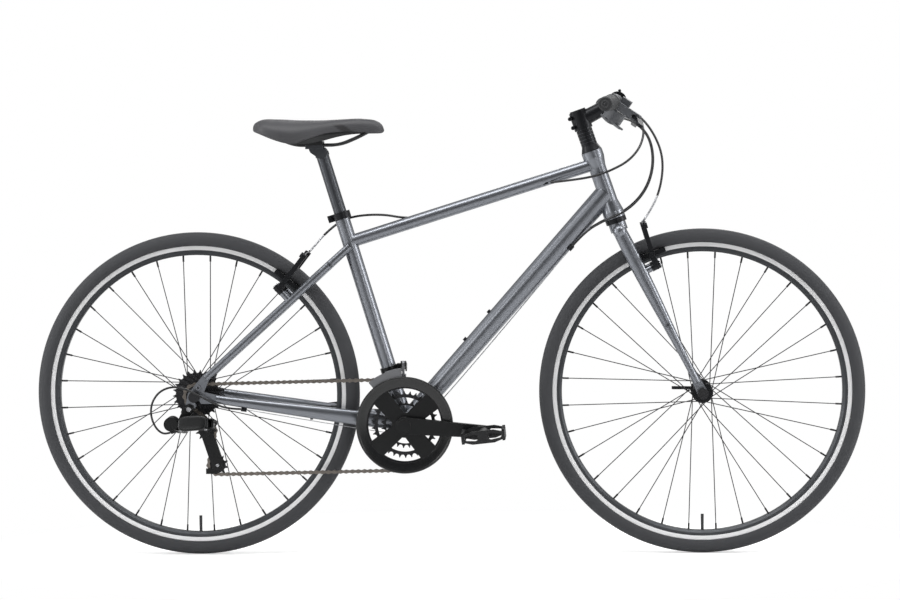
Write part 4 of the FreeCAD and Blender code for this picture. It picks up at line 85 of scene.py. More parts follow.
def add(tree: Tree, kind: str, inputs: Optional[Dict[Any, Any]] = None, **settings: Any) -> Any:
    """Add one node with its settings, socket values and links.

    Args:
        tree: node tree that takes the node.
        kind: type name of the node.
        inputs: socket name to a value, or to another node's output to link.
        settings: attributes of the node.

    Returns:
        The new node.
    """
    node = tree.nodes.new(kind)
    for key, value in settings.items():
        setattr(node, key, value)
    for key, value in (inputs or {}).items():
        if isinstance(value, bpy.types.NodeSocket):
            tree.links.new(value, node.inputs[key])
        else:
            node.inputs[key].default_value = value
    return node


def maths(tree: Tree, operation: str, first: Any, second: Any) -> Any:
    """Output of one operation on two values or sockets."""
    return add(tree, "ShaderNodeMath", {0: first, 1: second}, operation=operation).outputs[0]


def mixed(tree: Tree, share: Any, low: Any, high: Any) -> Any:
    """Output of a blend of two colours by a share."""
    return add(tree, "ShaderNodeMix", {0: share, 6: low, 7: high}, data_type="RGBA").outputs[2]


def ramp(tree: Tree, value: Any, edges: Pair, ends: Pair = (0.0, 1.0),
         kind: str = "SMOOTHSTEP") -> Any:
    """Carry a value from one range to another.

    Args:
        tree: node tree that takes the node.
        value: socket that is carried.
        edges: range it comes from.
        ends: range it goes to.
        kind: how it goes between the ends.

    Returns:
        Output socket of the result.
    """
    ranges = {"Value": value, "From Min": edges[0], "From Max": edges[1], "To Min": ends[0], "To Max": ends[1]}
    return add(tree, "ShaderNodeMapRange", ranges, interpolation_type=kind).outputs["Result"]


def cleared(block: Any) -> Tree:
    """Empty node tree of a material or a world."""
    block.use_nodes = True
    block.node_tree.nodes.clear()
    return block.node_tree


def placed(name: str, data: Any) -> Piece:
    """New object around its data, linked into the scene."""
    holder = bpy.data.objects.new(name, data)
    bpy.context.scene.collection.objects.link(holder)
    return holder


class Grain(Enum):
    """How the fine structure of a surface lies."""

    FLAKE = "fine flakes in paint"
    PEBBLE = "moulded or embossed pebbles"
    BRUSHED = "fine lines along the bike"


@dataclass(frozen=True)
class Finish:
    """One surface finish, built as a procedural material.

    The fine grain tints the colour and gives the bump; a broad noise shifts the roughness, as handling does.
    Sharp edges are shaded as if rounded by edge_mm, as every pressed, forged or moulded edge is.
    """

    name: str
    colour: str
    roughness: float
    metallic: float = 0.0
    grain: Grain = Grain.FLAKE
    grain_mm: float = 1.0
    tint: float = 0.1
    bump_mm: float = 0.02
    patch_mm: float = 70.0
    swing: float = 0.06
    coat: float = 0.0
    edge_mm: float = 0.8
    gloss: float = 0.5

    def fine(self, tree: Tree, coords: Any) -> Any:
        """Fine grain from 0 to 1.

        Args:
            tree: node tree of the material.
            coords: object coordinates in metres.

        Returns:
            Output socket of the pattern.
        """
        where = {"Vector": coords, "Scale": 1.0 / (self.grain_mm * MM)}
        if self.grain is Grain.PEBBLE:
            return add(tree, "ShaderNodeTexVoronoi", where, feature="SMOOTH_F1").outputs["Distance"]
        if self.grain is Grain.BRUSHED:
            drawn_out = {"Vector": coords, "Scale": (0.04, 1.0, 1.0)}
            where["Vector"] = add(tree, "ShaderNodeMapping", drawn_out).outputs["Vector"]
        return add(tree, "ShaderNodeTexNoise", {**where, "Detail": 3.0}).outputs["Fac"]

    def tinted(self, tree: Tree, coords: Any, fine: Any, broad: Any) -> Any:
        """Colour with the grain's tint.

        Args:
            tree: node tree of the material.
            coords: object coordinates in metres; not used here, only where a finish overrides this.
            fine: grain pattern.
            broad: broad pattern.

        Returns:
            Output socket of the colour.
        """
        share = maths(tree, "MULTIPLY", maths(tree, "ADD", fine, broad), 0.5)
        return mixed(tree, share, linear(self.colour, 1.0 - self.tint), linear(self.colour, 1.0 + self.tint))

    def build(self) -> bpy.types.Material:
        """Make the material once and keep it for every piece that uses it."""
        known = bpy.data.materials.get(self.name)
        if known:
            return known
        material = bpy.data.materials.new(self.name)
        tree = cleared(material)
        coords = add(tree, "ShaderNodeTexCoord").outputs["Object"]
        fine = self.fine(tree, coords)
        patches = {"Vector": coords, "Scale": 1.0 / (self.patch_mm * MM)}
        broad = add(tree, "ShaderNodeTexNoise", patches).outputs["Fac"]
        rough = ramp(tree, broad, (0.0, 1.0), (self.roughness - self.swing, self.roughness + self.swing), "LINEAR")
        relief = {"Height": fine, "Distance": self.bump_mm * MM}
        if self.edge_mm > 0.0:
            edge = add(tree, "ShaderNodeBevel", {"Radius": self.edge_mm * MM}, samples=4)
            relief["Normal"] = edge.outputs["Normal"]
        bump = add(tree, "ShaderNodeBump", relief).outputs["Normal"]
        shader = add(tree, "ShaderNodeBsdfPrincipled",
                     {"Base Color": self.tinted(tree, coords, fine, broad), "Roughness": rough,
                      "Metallic": self.metallic, "Coat Weight": self.coat, "Specular IOR Level": self.gloss,
                      "Normal": bump})
        add(tree, "ShaderNodeOutputMaterial", {"Surface": shader.outputs["BSDF"]})
        return material


@dataclass(frozen=True)
class RimFinish(Finish):
    """Dark anodised rim whose brake track is turned back to bare metal."""

    axle_x: float = 0.0
    track_inner: float = 0.3085
    track_outer: float = 0.319
    bare: str = "#f6f6f7"
    groove_level: float = 0.8
    grooves_per_metre: float = 2600.0

    def tinted(self, tree: Tree, coords: Any, fine: Any, broad: Any) -> Any:
        """Colour by the distance from the axle: bare between the track's two edges, with turned lines.

        Args:
            tree: node tree of the material.
            coords: object coordinates in metres.
            fine: grain pattern.
            broad: broad pattern.

        Returns:
            Output socket of the colour.
        """
        dark = super().tinted(tree, coords, fine, broad)
        from_axle = {"Vector": coords, "Location": (-self.axle_x, 0.0, -AXLE_Z), "Scale": (1.0, 0.0, 1.0)}
        moved = add(tree, "ShaderNodeMapping", from_axle).outputs["Vector"]
        reach = add(tree, "ShaderNodeVectorMath", {0: moved}, operation="LENGTH").outputs["Value"]
        grooves = {"W": maths(tree, "MULTIPLY", reach, self.grooves_per_metre)}
        turned = add(tree, "ShaderNodeTexNoise", grooves, noise_dimensions="1D").outputs["Fac"]
        lines = mixed(tree, turned, linear(self.bare, self.groove_level), linear(self.bare))
        above = maths(tree, "GREATER_THAN", reach, self.track_inner)
        below = maths(tree, "LESS_THAN", reach, self.track_outer)
        return mixed(tree, maths(tree, "MULTIPLY", above, below), dark, lines)


@dataclass(frozen=True)
class DarkBandFinish(Finish):
    """Embossed vinyl, darker in a band where the piece's own attribute says so."""

    dark_band: str = "#1c1c1e"

    def tinted(self, tree: Tree, coords: Any, fine: Any, broad: Any) -> Any:
        """Colour of the cover, darker in the attribute's band.

        Args:
            tree: node tree of the material.
            coords: object coordinates in metres.
            fine: grain pattern.
            broad: broad pattern.

        Returns:
            Output socket of the colour.
        """
        cover = super().tinted(tree, coords, fine, broad)
        mask = add(tree, "ShaderNodeAttribute", attribute_name="dark_band").outputs["Fac"]
        return mixed(tree, mask, cover, linear(self.dark_band))


# Metallic enamel on the tubes: fine flakes, drawn coarser than life, under a satin clear coat.
PAINT = Finish("metallic_enamel_gunmetal", "#7e8187", 0.32, metallic=0.88, grain_mm=0.9, tint=0.07,
               bump_mm=0.0003, swing=0.03, coat=0.2, edge_mm=0.0)
# Anodised aluminium, blasted first, so highlights are broad and grey.
BLACK_ALLOY = Finish("anodised_aluminium_black", "#1c1d20", 0.34, metallic=0.5, grain_mm=0.6, tint=0.12,
                     bump_mm=0.006, gloss=0.35)
# Drawn post tube, anodised over a brushed skin: greyer than the cast parts.
POST_ALLOY = Finish("brushed_aluminium_dark", "#4b4d51", 0.34, metallic=0.75, grain=Grain.BRUSHED, grain_mm=0.6,
                    tint=0.1, bump_mm=0.002)
# Forged crank and mech parts in black enamel, a little glossier than the anodised parts.
BLACK_ENAMEL = Finish("black_enamel", "#121314", 0.32, metallic=0.2, grain_mm=0.8, tint=0.1, bump_mm=0.006,
                      edge_mm=1.6, gloss=0.35)
# Stamped steel with a black oxide: dull, with uneven wear.
BLACK_STEEL = Finish("black_oxide_steel", "#303032", 0.42, metallic=0.7, grain_mm=1.4, tint=0.25, bump_mm=0.01)
# Zinc plated steel, fine scratches along the bike.
BRIGHT_STEEL = Finish("zinc_plated_steel", "#b4b5b8", 0.28, metallic=1.0, grain=Grain.BRUSHED, grain_mm=0.5,
                      tint=0.12, bump_mm=0.005)
# Pressed cage plate with a worn matt plating.
CAGE_STEEL = Finish("matt_plated_steel", "#7c7d80", 0.42, metallic=0.9, grain=Grain.BRUSHED, grain_mm=0.7,
                    tint=0.18, bump_mm=0.006)
# Chain steel under a film of oil: brown-grey.
CHAIN_STEEL = Finish("oiled_chain_steel", "#77716b", 0.36, metallic=0.85, grain_mm=2.2, tint=0.28, bump_mm=0.01,
                     patch_mm=9.0, edge_mm=0.0)
# Stainless spokes with a dark coating.
SPOKE_STEEL = Finish("dark_coated_spoke_steel", "#1d1d1f", 0.36, metallic=0.4, grain_mm=1.5, tint=0.12,
                     bump_mm=0.003, edge_mm=0.0)
# Vulcanised tyre rubber: matt, with a bloom that greys it.
TYRE_RUBBER = Finish("vulcanised_tyre_rubber", "#343538", 0.74, grain_mm=1.1, tint=0.16, bump_mm=0.05,
                     patch_mm=45.0, edge_mm=0.0)
# Soft grip rubber.
GRIP_RUBBER = Finish("moulded_grip_rubber", "#2c2d2f", 0.66, grain=Grain.PEBBLE, grain_mm=1.2, tint=0.12,
                     bump_mm=0.05, edge_mm=0.0)
# Glass filled nylon straight from the mould: fine pebble grain.
NYLON = Finish("moulded_nylon_black", "#17181a", 0.44, grain=Grain.PEBBLE, grain_mm=0.9, tint=0.14, bump_mm=0.03,
               gloss=0.4)
# Moulded guard plastic, smooth from a polished mould: dark with a sharp line of light on the lip.
GUARD_PLASTIC = Finish("moulded_abs_black", "#161718", 0.24, grain_mm=1.2, tint=0.1, bump_mm=0.002, edge_mm=0.0,
                       coat=0.1)
# Grey moulded nylon of the shifter pods.
POD_NYLON = Finish("moulded_nylon_graphite", "#505256", 0.36, grain=Grain.PEBBLE, grain_mm=0.8, tint=0.12)
# Extruded cable housing: smooth soft polymer.
HOUSING = Finish("extruded_housing_black", "#1b1b1d", 0.38, grain_mm=1.5, tint=0.1, bump_mm=0.01, edge_mm=0.0)
# Embossed vinyl over foam.
SADDLE_VINYL = DarkBandFinish("embossed_saddle_vinyl", "#3d3d40", 0.56, grain=Grain.PEBBLE, grain_mm=1.3, tint=0.10,
                           bump_mm=0.06, patch_mm=50.0, edge_mm=0.0)
# Anodised rims, each with its brake track turned round its own axle.
FRONT_RIM, REAR_RIM = (
    RimFinish("anodised_rim_" + end, "#3f4144", 0.36, metallic=0.6, grain_mm=0.8, tint=0.1, bump_mm=0.004, axle_x=x)
    for end, x in (("front", FRONT_AXLE_X), ("rear", REAR_AXLE_X)))


def grid_faces(rows: int, columns: int, close_rows: bool = False) -> Array:
    """Quads of a grid of points whose columns run in a ring.

    Args:
        rows: points along the first parameter.
        columns: points along the second parameter.
        close_rows: whether the last row joins the first.

    Returns:
        Array of four point numbers to a face.
    """
    i = np.arange(rows if close_rows else rows - 1)[:, None]
    j = np.arange(columns)[None, :]
    k = (i + 1) % rows
    m = (j + 1) % columns
    quads = np.stack([i * columns + j, k * columns + j, k * columns + m, i * columns + m], axis=-1)
    return quads.reshape(-1, 4)


def outward(mesh: bpy.types.Mesh) -> None:
    """Turn a closed mesh's faces so that its signed volume is positive.

    Args:
        mesh: closed mesh.
    """
    mesh.calc_loop_triangles()
    corners = np.zeros(len(mesh.loop_triangles) * 3, np.int32)
    mesh.loop_triangles.foreach_get("vertices", corners)
    co = np.zeros(len(mesh.vertices) * 3, np.float32)
    mesh.vertices.foreach_get("co", co)
    tri = co.reshape(-1, 3)[corners.reshape(-1, 3)]
    volume = np.einsum("ij,ij->i", tri[:, 0], np.cross(tri[:, 1], tri[:, 2])).sum()
    if volume < 0.0:
        mesh.flip_normals()


def solid(name: str, points: List[Any], faces: List[List[int]], finish: Finish) -> Piece:
    """Make an object from points and faces.

    Args:
        name: name of the piece.
        points: points in metres.
        faces: point numbers of each face.
        finish: finish of the piece.

    Returns:
        The new object, flat shaded.
    """
    mesh = bpy.data.meshes.new(name)
    mesh.from_pydata(points, [], faces)
    mesh.validate()
    mesh.materials.append(finish.build())
    outward(mesh)
    return placed(name, mesh)


def surface(name: str, points: Array, finish: Finish, close_rows: bool = False) -> Piece:
    """Make an object from a grid of points whose columns run in a ring; open ends get a face.

    Args:
        name: name of the piece.
        points: rows by columns by three, in metres.
        finish: finish of the piece.
        close_rows: whether the rows run in a ring too.

    Returns:
        The new object, smooth shaded.
    """
    rows, columns, _ = points.shape
    faces = grid_faces(rows, columns, close_rows).tolist()
    if not close_rows:
        faces.append(list(range(columns))[::-1])
        faces.append([(rows - 1) * columns + c for c in range(columns)])
    piece = solid(name, points.reshape(-1, 3).tolist(), faces, finish)
    piece.data.shade_smooth()
    return piece


def unit(v: Array) -> Array:
    """Vectors of length one along the last axis."""
    return v / np.maximum(np.linalg.norm(v, axis=-1, keepdims=True), 1e-12)


def frames(line: Array) -> Tuple[Array, Array]:
    """Two directions square to a line at each of its points.

    The reference direction is the axis that the line runs along least; each normal is that axis less its part
    along the line.

    Args:
        line: points of the line.

    Returns:
        The two directions as arrays.
    """
    run = unit(np.gradient(line, axis=0))
    axes = unit(np.array([(1, 0, 0), (0, 1, 0), (0, 0, 1), (1, 1, 0), (1, -1, 0), (0, 1, 1), (1, 0, 1), (1, 0, -1)],
                         float))
    best = axes[np.argmin(np.abs(run @ axes.T).max(axis=0))]
    side = unit(best - run * (run @ best)[:, None])
    return side, np.cross(run, side)


def circle(sides: int, side: Array, other: Array) -> Array:
    """Unit circle in the plane of two directions: cos a side + sin a other.

    Args:
        sides: points round the circle.
        side: first direction, or one to each row.
        other: second direction, or one to each row.

    Returns:
        Points round the circle, row by row where there are rows.
    """
    angle = np.linspace(0.0, TURN, sides, endpoint=False)[:, None]
    return np.cos(angle) * side[..., None, :] + np.sin(angle) * other[..., None, :]


def turned(origin: Array, axis: Array, outline: Any, sides: int) -> Array:
    """Turn an outline round an axis: origin + axis * along + circle * radius.

    Args:
        origin: point on the axis.
        axis: direction of the axis.
        outline: rows of radius and place along the axis, in metres.
        sides: points round the axis.

    Returns:
        Rows by sides by three.
    """
    side, other = frames(np.stack([origin, origin + axis]))
    ring = circle(sides, side[0], other[0])
    return np.stack([origin + axis * along + ring * radius for radius, along in outline])


def rings(line: Array, radius: float, sides: int) -> Array:
    """Circles square to a line at its points: centre + radius (cos a side + sin a other).

    Args:
        line: points of the line.
        radius: radius of the circles.
        sides: points round each circle.

    Returns:
        Points of the line by sides by three.
    """
    return line[:, None, :] + radius * circle(sides, *frames(line))


def smooth_line(points: Sequence[Point], steps: int = 12) -> Array:
    """Smooth line near a route: a NURBS spline with the route's points as control points.

    Args:
        points: the route.
        steps: points to each span.

    Returns:
        Points along the spline.
    """
    curve = bpy.data.curves.new("route", "CURVE")
    curve.dimensions = "3D"
    curve.resolution_u = steps
    spline = curve.splines.new("NURBS")
    spline.points.add(len(points) - 1)
    spline.points.foreach_set("co", np.hstack([np.array(points, float), np.ones((len(points), 1))]).ravel())
    spline.order_u = 3
    spline.use_endpoint_u = True
    holder = placed("route", curve)
    bpy.context.view_layer.update()
    mesh = bpy.data.meshes.new_from_object(holder)
    co = np.zeros(len(mesh.vertices) * 3)
    mesh.vertices.foreach_get("co", co)
    bpy.data.objects.remove(holder)
    bpy.data.curves.remove(curve)
    bpy.data.meshes.remove(mesh)
    return co.reshape(-1, 3)


def hermite(at: Array, value: Array, u: Array) -> Array:
    """Smooth curve through the rows of a table, with slopes from the neighbours on both sides.

    Args:
        at: where the rows stand.
        value: what they hold.
        u: where the curve is wanted.

    Returns:
        Values of the curve.
    """
    slope = np.gradient(value, at)
    i = np.clip(np.searchsorted(at, u) - 1, 0, len(at) - 2)
    step = at[i + 1] - at[i]
    t = np.clip((u - at[i]) / step, 0.0, 1.0)
    return ((2 * t**3 - 3 * t**2 + 1) * value[i] + (t**3 - 2 * t**2 + t) * step * slope[i]
            + (3 * t**2 - 2 * t**3) * value[i + 1] + (t**3 - t**2) * step * slope[i + 1])


def smoothstep(low: float, high: float, x: Array) -> Array:
    """Ease from 0 at low to 1 at high."""
    t = np.clip((x - low) / (high - low), 0.0, 1.0)
    return t * t * (3 - 2 * t)


def plateau(edges: Sequence[float], x: Array) -> Array:
    """Ease from 0 to 1 between the first two edges and back to 0 between the last two."""
    return smoothstep(edges[0], edges[1], x) * (1 - smoothstep(edges[2], edges[3], x))


def rounded(inward: Array, radius: float, least: float) -> Array:
    """Share of the full width near a rounded end: a quarter circle, its square kept above the least.

    Args:
        inward: distances from the end.
        radius: radius of the rounding.
        least: least square of the share.

    Returns:
        Shares of the full width.
    """
    return np.sqrt(np.clip(1 - (1 - np.clip(inward / radius, 0.0, 1.0)) ** 2, least, 1.0))


@dataclass
class Tyre:
    """Tyre with grooved tread: a round section carried round the axle, with the grooves pressed into it."""

    node: str
    body: str
    axle_x: float
    outer: float = 0.346
    section: float = 0.018
    wall: float = 0.0026
    groove: float = 0.0011
    inset_share: float = 0.6
    pitch: float = 0.0085
    around: int = 1440
    across: int = 40
    bead_angle: float = 128.0
    ring_angles: Floats = (13.0, 33.0)
    ring_width: float = 2.6
    slant: float = 0.045
    sipe_edges: Pair = (0.10, 0.24)
    shoulder: Floats = (36.0, 39.0, 60.0, 63.0)
    flank_edges: Pair = (62.0, 66.0)
    flank_share: float = 0.45

    def depth(self, phi: Array, theta: Array) -> Array:
        """Groove depth: two rings beside the crown, slanted sipes on the shoulders, a step to the flanks.

        Args:
            phi: angles round the axle.
            theta: angles round the section, 0 at the crown.

        Returns:
            Depth at each point of the grid.
        """
        deg = np.degrees(np.abs(theta))
        rings = sum(np.exp(-((deg - ring) / self.ring_width) ** 2) for ring in self.ring_angles)
        run = phi * self.outer / self.pitch - deg * self.slant
        dash = smoothstep(*self.sipe_edges, np.abs(((run + 0.5) % 1.0) - 0.5) * 2)
        step = smoothstep(*self.flank_edges, deg) * self.flank_share
        return self.groove * np.clip(rings + plateau(self.shoulder, deg) * (1 - dash) + step, 0.0, 1.0)

    def build(self) -> Piece:
        """Make the tyre and put it in the place of its solid."""
        limit = math.radians(self.bead_angle)
        theta = np.linspace(-limit, limit, self.across)
        phi = np.linspace(0.0, TURN, self.around, endpoint=False)[:, None]
        outer = self.section - self.depth(phi, theta[None, :])
        inner = np.broadcast_to(self.section - self.wall - self.groove * self.inset_share, outer.shape)
        reach = np.concatenate([outer, inner[:, ::-1]], axis=1)
        turn = np.concatenate([theta, theta[::-1]])[None, :]
        radius = self.outer - self.section + reach * np.cos(turn)
        points = np.stack([self.axle_x + radius * np.sin(phi), reach * np.sin(turn), AXLE_Z + radius * np.cos(phi)],
                          axis=-1)
        piece = surface(self.node + "_tread", points, TYRE_RUBBER, close_rows=True)
        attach(piece, self.body)
        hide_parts(self.node)
        return piece


@dataclass
class Saddle:
    """Padded saddle: crowned sections along a line, rounded off at both ends, hollow below."""

    rear: Point = (-0.4126, 0.0, 0.9313)
    length: float = 0.279
    width: float = 0.156
    depth: float = 0.054
    wall_side: float = 0.007
    wall_top: float = 0.016
    rows: int = 72
    columns: int = 56
    shares: Floats = (0.0, 0.055, 0.19, 0.34, 0.44, 0.54, 0.68, 0.85, 0.955, 1.0)
    half_shares: Floats = (0.42, 0.76, 1.0, 0.95, 0.80, 0.58, 0.38, 0.275, 0.235, 0.15)
    crest_shares: Floats = (0.20, 0.05, 0.01, 0.05, 0.06, 0.06, 0.03, 0.02, 0.13, 0.3)
    edge_shares: Floats = (0.46, 0.56, 0.80, 0.95, 0.78, 0.61, 0.53, 0.55, 0.60, 0.58)
    side_power: float = 0.78
    crown_power: float = 0.72
    tuck: float = 0.07
    crowding: float = 0.55
    end_radius: float = 0.007
    end_least: float = 0.04
    band_lean: float = 5.0
    band_edges: Floats = (0.545, 0.555, 0.625, 0.635)
    band_top: Pair = (-0.016, -0.010)

    def section(self, u: Array, inset_side: float, inset_top: float) -> Array:
        """Half loop over the top: y = half cos a, z = low + rise sin a, each drawn to a power, flanks tucked in.

        Args:
            u: shares of the length.
            inset_side: how far the flanks are drawn in.
            inset_top: how far the crown is drawn in.

        Returns:
            Rows by columns by three.
        """
        at = np.array(self.shares)
        half = hermite(at, np.array(self.half_shares), u) * self.width / 2 - inset_side
        crest = self.rear[2] - hermite(at, np.array(self.crest_shares), u) * self.depth - inset_top
        low = self.rear[2] - hermite(at, np.array(self.edge_shares), u) * self.depth
        a = np.linspace(0.0, math.pi, self.columns)[None, :]
        c, s = np.cos(a), np.sin(a)
        y = half[:, None] * np.sign(c) * np.abs(c) ** self.side_power * (1.0 - self.tuck * (1 - s) ** 4)
        z = low[:, None] + (crest - low)[:, None] * s ** self.crown_power
        x = np.broadcast_to((self.rear[0] + self.length * u)[:, None], y.shape)
        return np.stack([x, y, z], axis=-1)

    def build(self) -> Piece:
        """Make the padded cover in the place of its solid."""
        t = np.linspace(0.0, 1.0, self.rows)
        u = t - np.sin(TURN * t) / TURN * self.crowding
        outer = self.section(u, 0.0, 0.0)
        inner = self.section(u, self.wall_side, self.wall_top)
        inner[..., 2] = np.minimum(inner[..., 2], outer[..., 2])
        points = np.concatenate([outer, inner[:, ::-1]], axis=1)
        middle = points.mean(axis=1, keepdims=True)
        inward = np.minimum(u, 1.0 - u) * self.length
        points = middle + (points - middle) * rounded(inward, self.end_radius, self.end_least)[:, None, None]
        piece = surface("saddle_padding", points, SADDLE_VINYL)
        # A point attribute marks a slanted band low on each flank, toward the nose, that the vinyl colours darker.
        mask = piece.data.attributes.new("dark_band", "FLOAT", "POINT")
        co = points.reshape(-1, 3)
        rise = co[:, 2] - self.rear[2]
        lean = (co[:, 0] - self.rear[0]) / self.length + rise * self.band_lean
        dark_band = plateau(self.band_edges, lean) * (1 - smoothstep(*self.band_top, rise))
        mask.data.foreach_set("value", dark_band.astype(np.float32))
        smooth = piece.modifiers.new("soft", "SUBSURF")
        smooth.levels = 1
        smooth.render_levels = 1
        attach(piece, "seat")
        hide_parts("saddle_cover")
        return piece


@dataclass
class Grip:
    """Ribbed rubber grip: a turned profile with raised rings, and a closed end with sunk rings."""

    word: str
    side: float
    outer_end: Point = (0.3322, 0.301, 0.9561)
    inner_end: Point = (0.3472, 0.1769, 0.9602)
    radius: float = 0.0155
    bore: float = 0.0112
    bore_start: float = 0.004
    collar: float = 0.0175
    collar_edges: Pair = (0.0062, 0.005)
    rib: float = 0.0007
    rib_pitch: float = 0.0046
    rib_power: float = 0.6
    plain: Pair = (0.012, 0.016)
    nose_radius: float = 0.004
    nose_least: float = 0.75
    ring_shares: Floats = (0.06, 0.18, 0.21, 0.30, 0.33, 0.52, 0.55, 0.66)
    ring_depth: float = 0.0012
    rows: int = 180
    sides: int = 48

    def build(self) -> Piece:
        """Turn the profile round the bar's end, in the place of the solid grip."""
        start = np.array(self.outer_end) * (1.0, self.side, 1.0)
        end = np.array(self.inner_end) * (1.0, self.side, 1.0)
        length = float(np.linalg.norm(end - start))
        run = np.linspace(0.0, length, self.rows)
        wave = np.abs(np.sin(math.pi * run / self.rib_pitch)) ** self.rib_power
        ribbed = plateau((*self.plain, length - self.plain[1], length - self.plain[0]), run)
        swell = self.radius - self.rib + self.rib * wave * ribbed
        far, near = self.collar_edges
        collar = smoothstep(length - far, length - near, run) * (self.collar - self.radius)
        nose = rounded(run, self.nose_radius, self.nose_least)
        face = np.array(self.ring_shares)
        sunk = np.array([0.0, 0.0, 1.0, 1.0] * (len(face) // 4)) * self.ring_depth
        radius = np.concatenate([face * self.radius, (swell + collar) * nose, [self.bore, self.bore]])
        along = np.concatenate([sunk, run, [length, self.bore_start]])
        points = turned(start, unit(end - start), zip(radius, along), self.sides)
        piece = surface(self.word + "_grip_rubber", points, GRIP_RUBBER)
        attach(piece, "steering")
        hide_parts("grips")
        return piece


@dataclass(frozen=True)
class CableRun:
    """One cable between two fixed ends, on a smooth line near its route.

    A run with no body of its own crosses from the frame to the steering.
    """

    name: str
    route: Tuple[Point, ...]
    radius: float
    node: str
    body: str = ""
    finish: Finish = HOUSING
    sides: int = 12

    def build(self) -> Piece:
        """Make the cable in the place of its solid."""
        line = smooth_line(self.route)
        piece = surface(self.name, rings(line, self.radius, self.sides), self.finish)
        if self.body:
            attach(piece, self.body)
        else:
            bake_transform(piece)
        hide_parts(self.node)
        return piece


@dataclass
class Cables:
    """Every brake and gear cable, with the bent steel pipes that lead into the brakes."""

    housing: float = 0.0025
    gear: float = 0.0022
    wire: float = 0.0008
    pipe: float = 0.0022

    def runs(self) -> List[CableRun]:
        """Routes of the cables, in the part's own points."""
        gear = ((0.3669, 0.1010, 0.9266), (0.3706, 0.0760, 0.9272), (0.3996, 0.0520, 0.9182),
                (0.4276, 0.0400, 0.8892), (0.4376, 0.0340, 0.8452), (0.4316, 0.0320, 0.8002),
                (0.4116, 0.0310, 0.7612), (0.3766, 0.0310, 0.7292), (0.3346, 0.0270, 0.7122),
                (0.2919, 0.0165, 0.6881), (0.2654, 0.0165, 0.6581))
        mirrored = tuple((x, -y, z) for x, y, z in gear)
        rear_brake = ((0.3701, 0.1428, 0.9438), (0.3727, 0.1210, 0.9446), (0.3996, 0.0750, 0.9322),
                      (0.4196, 0.0280, 0.9072), (0.4116, -0.0060, 0.8682), (0.3856, -0.0270, 0.8372),
                      (0.3476, -0.0340, 0.8172), (0.3096, -0.0330, 0.8042), (0.2646, -0.0270, 0.7972),
                      (0.2196, -0.0140, 0.7922))
        front_brake = ((0.3701, -0.1428, 0.9438), (0.3727, -0.1210, 0.9446), (0.3976, -0.0970, 0.9382),
                       (0.4276, -0.0790, 0.9082), (0.4496, -0.0690, 0.8652), (0.4556, -0.0660, 0.8262),
                       (0.4496, -0.0660, 0.7822), (0.4430, -0.0660, 0.7644))
        front_pipe = ((0.4430, -0.0660, 0.7644), (0.4366, -0.0660, 0.7472), (0.4120, -0.0660, 0.7081),
                      (0.4120, -0.0300, 0.7081))
        tail = ((-0.0549, 0.0, 0.7188), (-0.0949, 0.0020, 0.7188), (-0.1319, 0.0090, 0.7258),
                (-0.1739, 0.0190, 0.7258), (-0.2129, 0.0280, 0.7198), (-0.2449, 0.0420, 0.7038),
                (-0.2680, 0.0543, 0.6822))
        rear_pipe = ((-0.2680, 0.0543, 0.6822), (-0.2749, 0.0580, 0.6758), (-0.2987, 0.0660, 0.6479),
                     (-0.2987, 0.0300, 0.6479))
        loop = ((-0.4397, -0.0657, 0.3188), (-0.4705, -0.0700, 0.3200), (-0.5005, -0.0840, 0.3360),
                (-0.5305, -0.0930, 0.3530), (-0.5545, -0.0970, 0.3660), (-0.5815, -0.1000, 0.3710),
                (-0.6075, -0.1020, 0.3610), (-0.6235, -0.1020, 0.3390), (-0.6275, -0.1000, 0.3150),
                (-0.6225, -0.0980, 0.2930), (-0.6125, -0.0970, 0.2770), (-0.5980, -0.0973, 0.2689),
                (-0.5848, -0.0973, 0.2735))
        right_wire = ((0.2573, -0.0165, 0.6490), (-0.0711, -0.0060, 0.2554), (-0.1151, -0.0060, 0.2554),
                      (-0.4274, -0.0642, 0.3169))
        left_wire = ((0.2573, 0.0165, 0.6490), (-0.0711, 0.0060, 0.2554), (-0.1151, 0.0060, 0.2554),
                     (-0.1231, -0.0090, 0.2760), (-0.1471, -0.0090, 0.3840))
        front_cross = ((0.4120, -0.0300, 0.7081), (0.4122, 0.0060, 0.7073), (0.4125, 0.0480, 0.7064))
        rear_cross = ((-0.2987, 0.0300, 0.6479), (-0.2992, -0.0060, 0.6472), (-0.2998, -0.0480, 0.6465))
        return [
            CableRun("right_gear_housing", mirrored, self.gear, "steering_cables"),
            CableRun("left_gear_housing", gear, self.gear, "steering_cables"),
            CableRun("rear_brake_housing", rear_brake, self.housing, "steering_cables"),
            CableRun("front_brake_housing", front_brake, self.housing, "front_brake_cable", "steering"),
            CableRun("front_brake_pipe", front_pipe, self.pipe, "front_brake_cable", "steering", BRIGHT_STEEL),
            CableRun("front_brake_wire", front_cross, self.wire, "front_brake_cable", "steering", BRIGHT_STEEL),
            CableRun("rear_brake_tail", tail, self.housing, "rear_cables", "frame"),
            CableRun("rear_brake_pipe", rear_pipe, self.pipe, "rear_cables", "frame", BRIGHT_STEEL),
            CableRun("rear_brake_wire", rear_cross, self.wire, "rear_cables", "frame", BRIGHT_STEEL),
            CableRun("rear_gear_loop", loop, self.gear, "rear_cables", "frame"),
            CableRun("right_gear_wire", right_wire, self.wire, "rear_cables", "frame", BRIGHT_STEEL),
            CableRun("left_gear_wire", left_wire, self.wire, "rear_cables", "frame", BRIGHT_STEEL),
        ]


